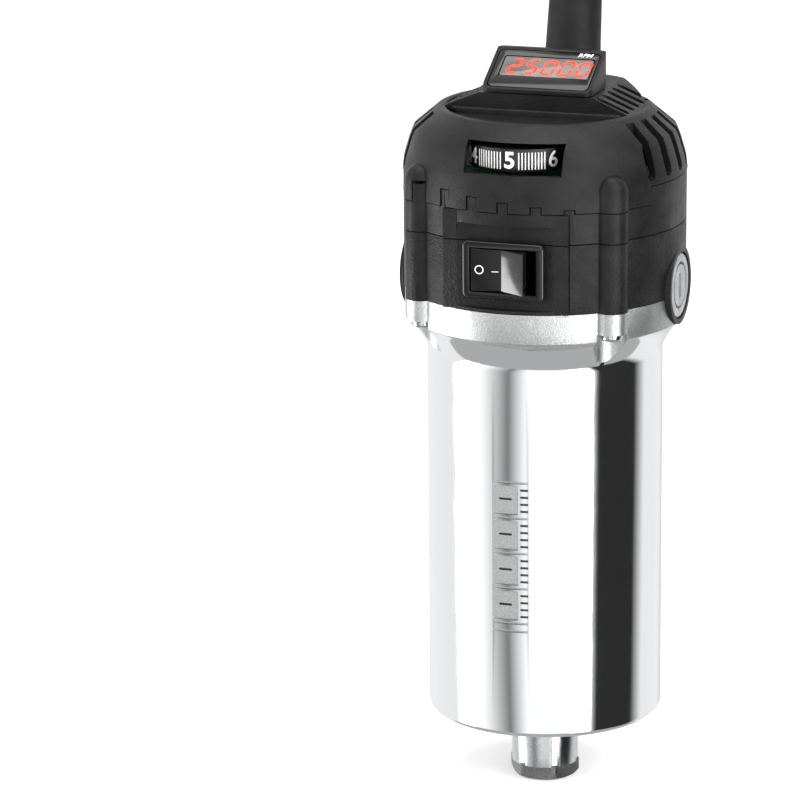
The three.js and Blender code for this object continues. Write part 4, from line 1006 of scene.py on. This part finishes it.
DIAL_Y = -20.5
DIAL_R = 14.5


def make_dial():
    wheel = turned("dial_wheel", [
        (0, 4.6), (2.8, 4.6), (2.8, 0), (14, 0), (14.35, 0.12), (DIAL_R, 0.5), (DIAL_R, 5.9),
        (14.35, 6.28), (14, 6.4), (0, 6.4),
    ], 160)
    return shaded(moved(wheel, shift=(0, DIAL_Y, Z_DIAL)))


def make_dial_marks():
    """Numbers 48 degrees apart round the wheel, with fine lines between them."""
    middle = Z_DIAL + 3.2
    marks = []
    for number in range(1, 7):
        angle = 3.2 + 48 * (number - 5)
        bold = 0.16 if number == 5 else 0.07
        digit = lettered("digit", str(number), 4.3, 0.24, bold=bold)
        digit = moved(digit, (90, 0, 0), (0, -(DIAL_R - 0.03), 0))
        marks.append(moved(digit, (0, 0, angle), (0, DIAL_Y, middle)))
        if number == 6:
            break
        for k in range(9):
            line = block("line", -0.15, 0.15, -(DIAL_R + 0.05), -(DIAL_R - 0.2), -2.3, 2.3)
            marks.append(moved(line, (0, 0, angle + 10 + 3.5 * k), (0, DIAL_Y, middle)))
    return shaded(together("dial_marks", marks))


fitted(make_dial(), DIAL_PC, "gloss_black", "speed_dial", "speed_dial")
fitted(make_dial_marks(), WHITE_INK, "gloss_black", "speed_dial")


# ---------------------------------------------------------------- display

FACE_TILT = 29.3
FACE_PLACE = (0, -1.25, 180.8)


def on_face(piece):
    return moved(piece, (FACE_TILT, 0, 0), FACE_PLACE)


def make_display_housing():
    z0 = Z_ROOF + GAP
    shell = prism("display_shell", rounded(-15.4, 15.4, -8.9, 8.2, 2.2), z0, z0 + 14)
    cut(shell, on_face(block("above", -40, 40, -40, 40, 0, 40)))
    cut(shell, block("top", -40, 40, 0, 40, Z_ROOF + 10, 210))
    hollow = prism("hollow", rounded(-13.8, 13.8, -7.3, 6.6, 1.4), z0 - 2, z0 + 20)
    cut(hollow, on_face(block("above", -40, 40, -40, 40, -2.2, 40)))
    seat = on_face(prism("seat", rounded(-14.4, 14.4, -8, 8, 1.6), -1.3, 5))
    opening = on_face(block("opening", -12.3, 13.3, -3.2, 5.4, -6, 2))
    cut(shell, hollow, seat, opening)
    return shaded(softened(shell, 0.35, 3, 30))


def make_display_panel():
    panel = prism("display_plate", rounded(-14.1, 14.1, -7.7, 7.7, 1.5), -1, 0)
    cut(panel, prism("pane", rounded(-12.3, 13.3, -3.2, 5.4, 0.8), -3, 3))
    return shaded(on_face(softened(panel, 0.12, 2, 40)))


def make_display_window():
    pane = prism("display_pane", rounded(-12, 13, -2.9, 5.1, 0.7), -1, -0.05)
    return shaded(on_face(softened(pane, 0.1, 2, 40)))


# Bars of a digit: a top, b and c right, d bottom, e and f left, g middle.
BARS = {
    "a": (0, 1, 0), "g": (0, 0, 0), "d": (0, -1, 0),
    "f": (-1, 0.5, 90), "b": (1, 0.5, 90), "e": (-1, -0.5, 90), "c": (1, -0.5, 90),
}
DIGIT_BARS = {"2": "abged", "5": "afgcd", "0": "abcdef"}


def make_readout():
    half_w, half_h, thick = 1.45, 2.75, 0.42
    digits = []
    for place, figure in enumerate("25000"):
        for bar in DIGIT_BARS[figure]:
            x, y, turn = BARS[bar]
            reach = half_w - 0.15 if turn == 0 else half_h / 2 - 0.15
            outline = [
                (-reach, 0), (-reach + thick, thick), (reach - thick, thick),
                (reach, 0), (reach - thick, -thick), (-reach + thick, -thick),
            ]
            made_bar = prism("bar", outline, -0.08, 0.02)
            digits.append(moved(made_bar, (0, 0, turn), (x * half_w, y * half_h, 0)))
            slanted = Matrix.Identity(4)
            slanted[0][1] = 0.17
            digits[-1].data.transform(slanted)
            moved(digits[-1], shift=(-8.4 + 4.85 * place, 1.0, 0))
    return shaded(on_face(together("readout", digits)))


def make_unit_mark():
    mark = lettered("unit_mark", "RPM", 1.5, 0.12, 0.25, 0.03)
    return shaded(on_face(moved(mark, shift=(10, 6.7, 0))))


fitted(make_display_housing(), UPPER_ABS, "black_nylon", "housing", "display_housing")
fitted(make_display_panel(), PANEL_PC, "gloss_black", "housing", "display_panel")
fitted(make_display_window(), WINDOW_PMMA, "smoked_window", "housing", "display_window")
fitted(make_readout(), SEGMENT, "smoked_window", "housing")
fitted(make_unit_mark(), WHITE_INK, "gloss_black", "housing")


# ---------------------------------------------------------------- cord, its boot, tie and plug

def make_boot():
    profile = [
        (0, -21), (CORD_R, -21), (CORD_R, -10.6), (9.9, -10.6), (9.9, -8.3), (8, -8.3), (8, 2),
        (7.85, 8), (7.6, 14), (7.4, 22), (7.1, 32), (6.75, 43), (6.45, 52), (6.3, 56.5),
        (6.1, 58.2), (5.6, BOOT_L), (0, BOOT_L),
    ]
    return shaded(on_boot_axis(turned("strain_relief", profile, 96)))


def in_hank(piece):
    moved(piece, shift=(-HANK_SIDE, 0, 0))
    return moved(piece, (0, 0, math.degrees(CORD_TURN)), (0, CORD_EXIT_Y, 0))


def make_tie():
    outer = block("hook_and_loop_tie", -27.75, 27.75, 32, 42, FLOOR_Z, 18)
    softened(outer, 2.4, 4, 60)
    inner = block("tie_inside", -26.55, 26.55, 31, 43, FLOOR_Z + 1.2, 16.8)
    return shaded(in_hank(softened(cut(outer, inner), 0.2, 2, 60)))


def make_plug():
    face = PLUG_ENTRY - 36
    outline = [
        (-13, face), (13, face), (13, face + 14), (7, face + 22), (5.5, PLUG_ENTRY),
        (-5.5, PLUG_ENTRY), (-7, face + 22), (-13, face + 14),
    ]
    plug = prism("moulded_plug", outline, PLUG_Z - 10, PLUG_Z + 10)
    softened(plug, 2.4, 4, 30)
    blades = []
    for x in (-6.35, 6.35):
        ends = (face - 17, face + 1, PLUG_Z - 3.2, PLUG_Z + 3.2)
        blades.append(block("blade", x - 0.8, x + 0.8, *ends))
    join(plug, *[softened(blade, 0.3, 2, 40) for blade in blades])
    plug.data.materials.append(CORD_PVC)
    plug.data.materials.append(BRASS)
    for polygon in plug.data.polygons:
        if polygon.center.y < (face - 0.1) * MM:
            polygon.material_index = 1
    return shaded(in_hank(plug))


boot = fitted(make_boot(), RUBBER, "rubber", "housing", "cord_boot")
tie = fitted(make_tie(), RUBBER, "rubber", "housing", "cord_tie")
plug = fitted(make_plug(), CORD_PVC, "cord_pvc", "housing", "cord_plug")
fitted(mains_cord, CORD_PVC, "cord_pvc", "housing", "cord", "cord_hank")


# ---------------------------------------------------------------- studio

def glowing(name, strength):
    """A backing that only gives light."""
    material = bpy.data.materials.new(name)
    material.use_nodes = True
    tree = material.node_tree
    tree.nodes.clear()
    glow = add_node(tree, "ShaderNodeEmission", {"Strength": strength})
    end = add_node(tree, "ShaderNodeOutputMaterial")
    tree.links.new(glow.outputs[0], end.inputs["Surface"])
    return material, tree, glow


def curved_wall(name, material, radius, start, end, low, high):
    """An upright wall round the router, seen only in reflections; degrees from the front."""
    points = arc(0, 0, radius * 1000, start - 90, end - 90, max(6, round((end - start) / 4)))
    wall = drawn(name, [(x, y, low * 1000) for x, y in points])
    bpy.ops.mesh.extrude_region_move(TRANSFORM_OT_translate={"value": (0, 0, high - low)})
    bpy.ops.object.mode_set(mode="OBJECT")
    wall.data.materials.append(material)
    wall.visible_camera = False
    wall.visible_diffuse = False
    wall.visible_shadow = False
    wall.visible_transmission = False


# The paper wall and the strip lights stand this far out, in metres.
PAPER_REACH = 0.7
STRIP_REACH = 0.65

WHITE, PALE, GREY, SHADE, BLACK = "#ffffff", "#e6e6e6", "#cccccc", "#777777", "#2b2b2b"

# The wall by angle from the camera's side, positive to the right: pale behind, white paper at
# the left that falls into shade and rises again to white in front, then a black flag.
PAPER = [
    (-197, GREY), (-150, PALE), (-104, PALE), (-95, GREY), (-86, WHITE), (-66, WHITE),
    (-36, SHADE), (-18, WHITE), (44, WHITE), (54, BLACK), (98, BLACK), (114, PALE),
    (150, PALE), (163, GREY),
]


def paper_wall():
    """Paper hung all round, shaded from white to black, for the polished metal to mirror."""
    material, tree, glow = glowing("studio_paper", 1.3)
    place = add_node(tree, "ShaderNodeTexCoord").outputs["Object"]
    parts = add_node(tree, "ShaderNodeSeparateXYZ", {}, {"Vector": place})
    front = add_node(tree, "ShaderNodeMath", {"operation": "MULTIPLY"}, {"Value": parts.outputs["Y"]})
    front.inputs[1].default_value = -1
    angle = add_node(tree, "ShaderNodeMath", {"operation": "ARCTAN2"})
    tree.links.new(parts.outputs["X"], angle.inputs[0])
    tree.links.new(front.outputs["Value"], angle.inputs[1])
    ends = {"From Min": -math.pi, "From Max": math.pi}
    share = add_node(tree, "ShaderNodeMapRange", ends, {"Value": angle.outputs["Value"]})
    ramp = add_node(tree, "ShaderNodeValToRGB", {}, {"Fac": share.outputs["Result"]})
    stops = ramp.color_ramp.elements
    for number, (turn, colour) in enumerate(PAPER):
        at = (turn + math.degrees(CAMERA_ANGLE) + 180) / 360
        if number < 2:
            stops[number].position = at
        stop = stops[number] if number < 2 else stops.new(at)
        stop.color = linear(colour)
    tree.links.new(ramp.outputs["Color"], glow.inputs["Color"])
    curved_wall("studio_paper", material, PAPER_REACH, -180, 180, -0.6, 0.9)


def strip_light(name, start, end, low, high, strength):
    turn = math.degrees(CAMERA_ANGLE)
    material = glowing(name, strength)[0]
    curved_wall(name, material, STRIP_REACH, start + turn, end + turn, low, high)


def soft_light(name, angle, rise, reach, width, height, power):
    direction = math.radians(angle) + CAMERA_ANGLE
    place = Vector((math.sin(direction) * reach, -math.cos(direction) * reach, rise))
    data = bpy.data.lights.new(name, "AREA")
    data.shape = "RECTANGLE"
    data.size, data.size_y = width, height
    data.energy = power
    lamp = bpy.data.objects.new(name, data)
    bpy.context.scene.collection.objects.link(lamp)
    aim = (Vector((0, 0, 0.1)) - place).to_track_quat("-Z", "Y").to_matrix().to_4x4()
    lamp.matrix_world = Matrix.Translation(place) @ aim


def make_studio():
    scene = bpy.context.scene
    scene.view_settings.view_transform = "Standard"
    world = bpy.data.worlds.new("studio")
    world.use_nodes = True
    world.node_tree.nodes["Background"].inputs["Color"].default_value = linear("#ffffff")
    world.node_tree.nodes["Background"].inputs["Strength"].default_value = 0.5
    scene.world = world
    bpy.ops.object.select_all(action="DESELECT")
    bpy.ops.mesh.primitive_plane_add(size=12, location=(0, 0, FLOOR_Z * MM - 0.0002))
    floor = made("studio_floor")
    white = {"Emission_Color": (1, 1, 1, 1), "Emission_Strength": 0.4}
    material, tree, shader, coords = surface("white_paper", "#fbfbfb", 0.9, **white)
    relief(tree, shader, speckle(tree, coords, 2), 0.01, 0.2)
    floor.data.materials.append(material)
    floor.visible_glossy = False
    soft_light("key", 46, 0.75, 1.1, 0.5, 0.9, 15)
    soft_light("fill", -60, 0.7, 1.2, 0.7, 0.9, 8)
    soft_light("top", 0, 1.5, 0.05, 1.2, 1.2, 14)
    paper_wall()
    strip_light("strip_right", 26, 48, -0.5, 0.1, 7)
    strip_light("strip_left", -99, -78, -0.5, 0.1, 11)


make_studio()
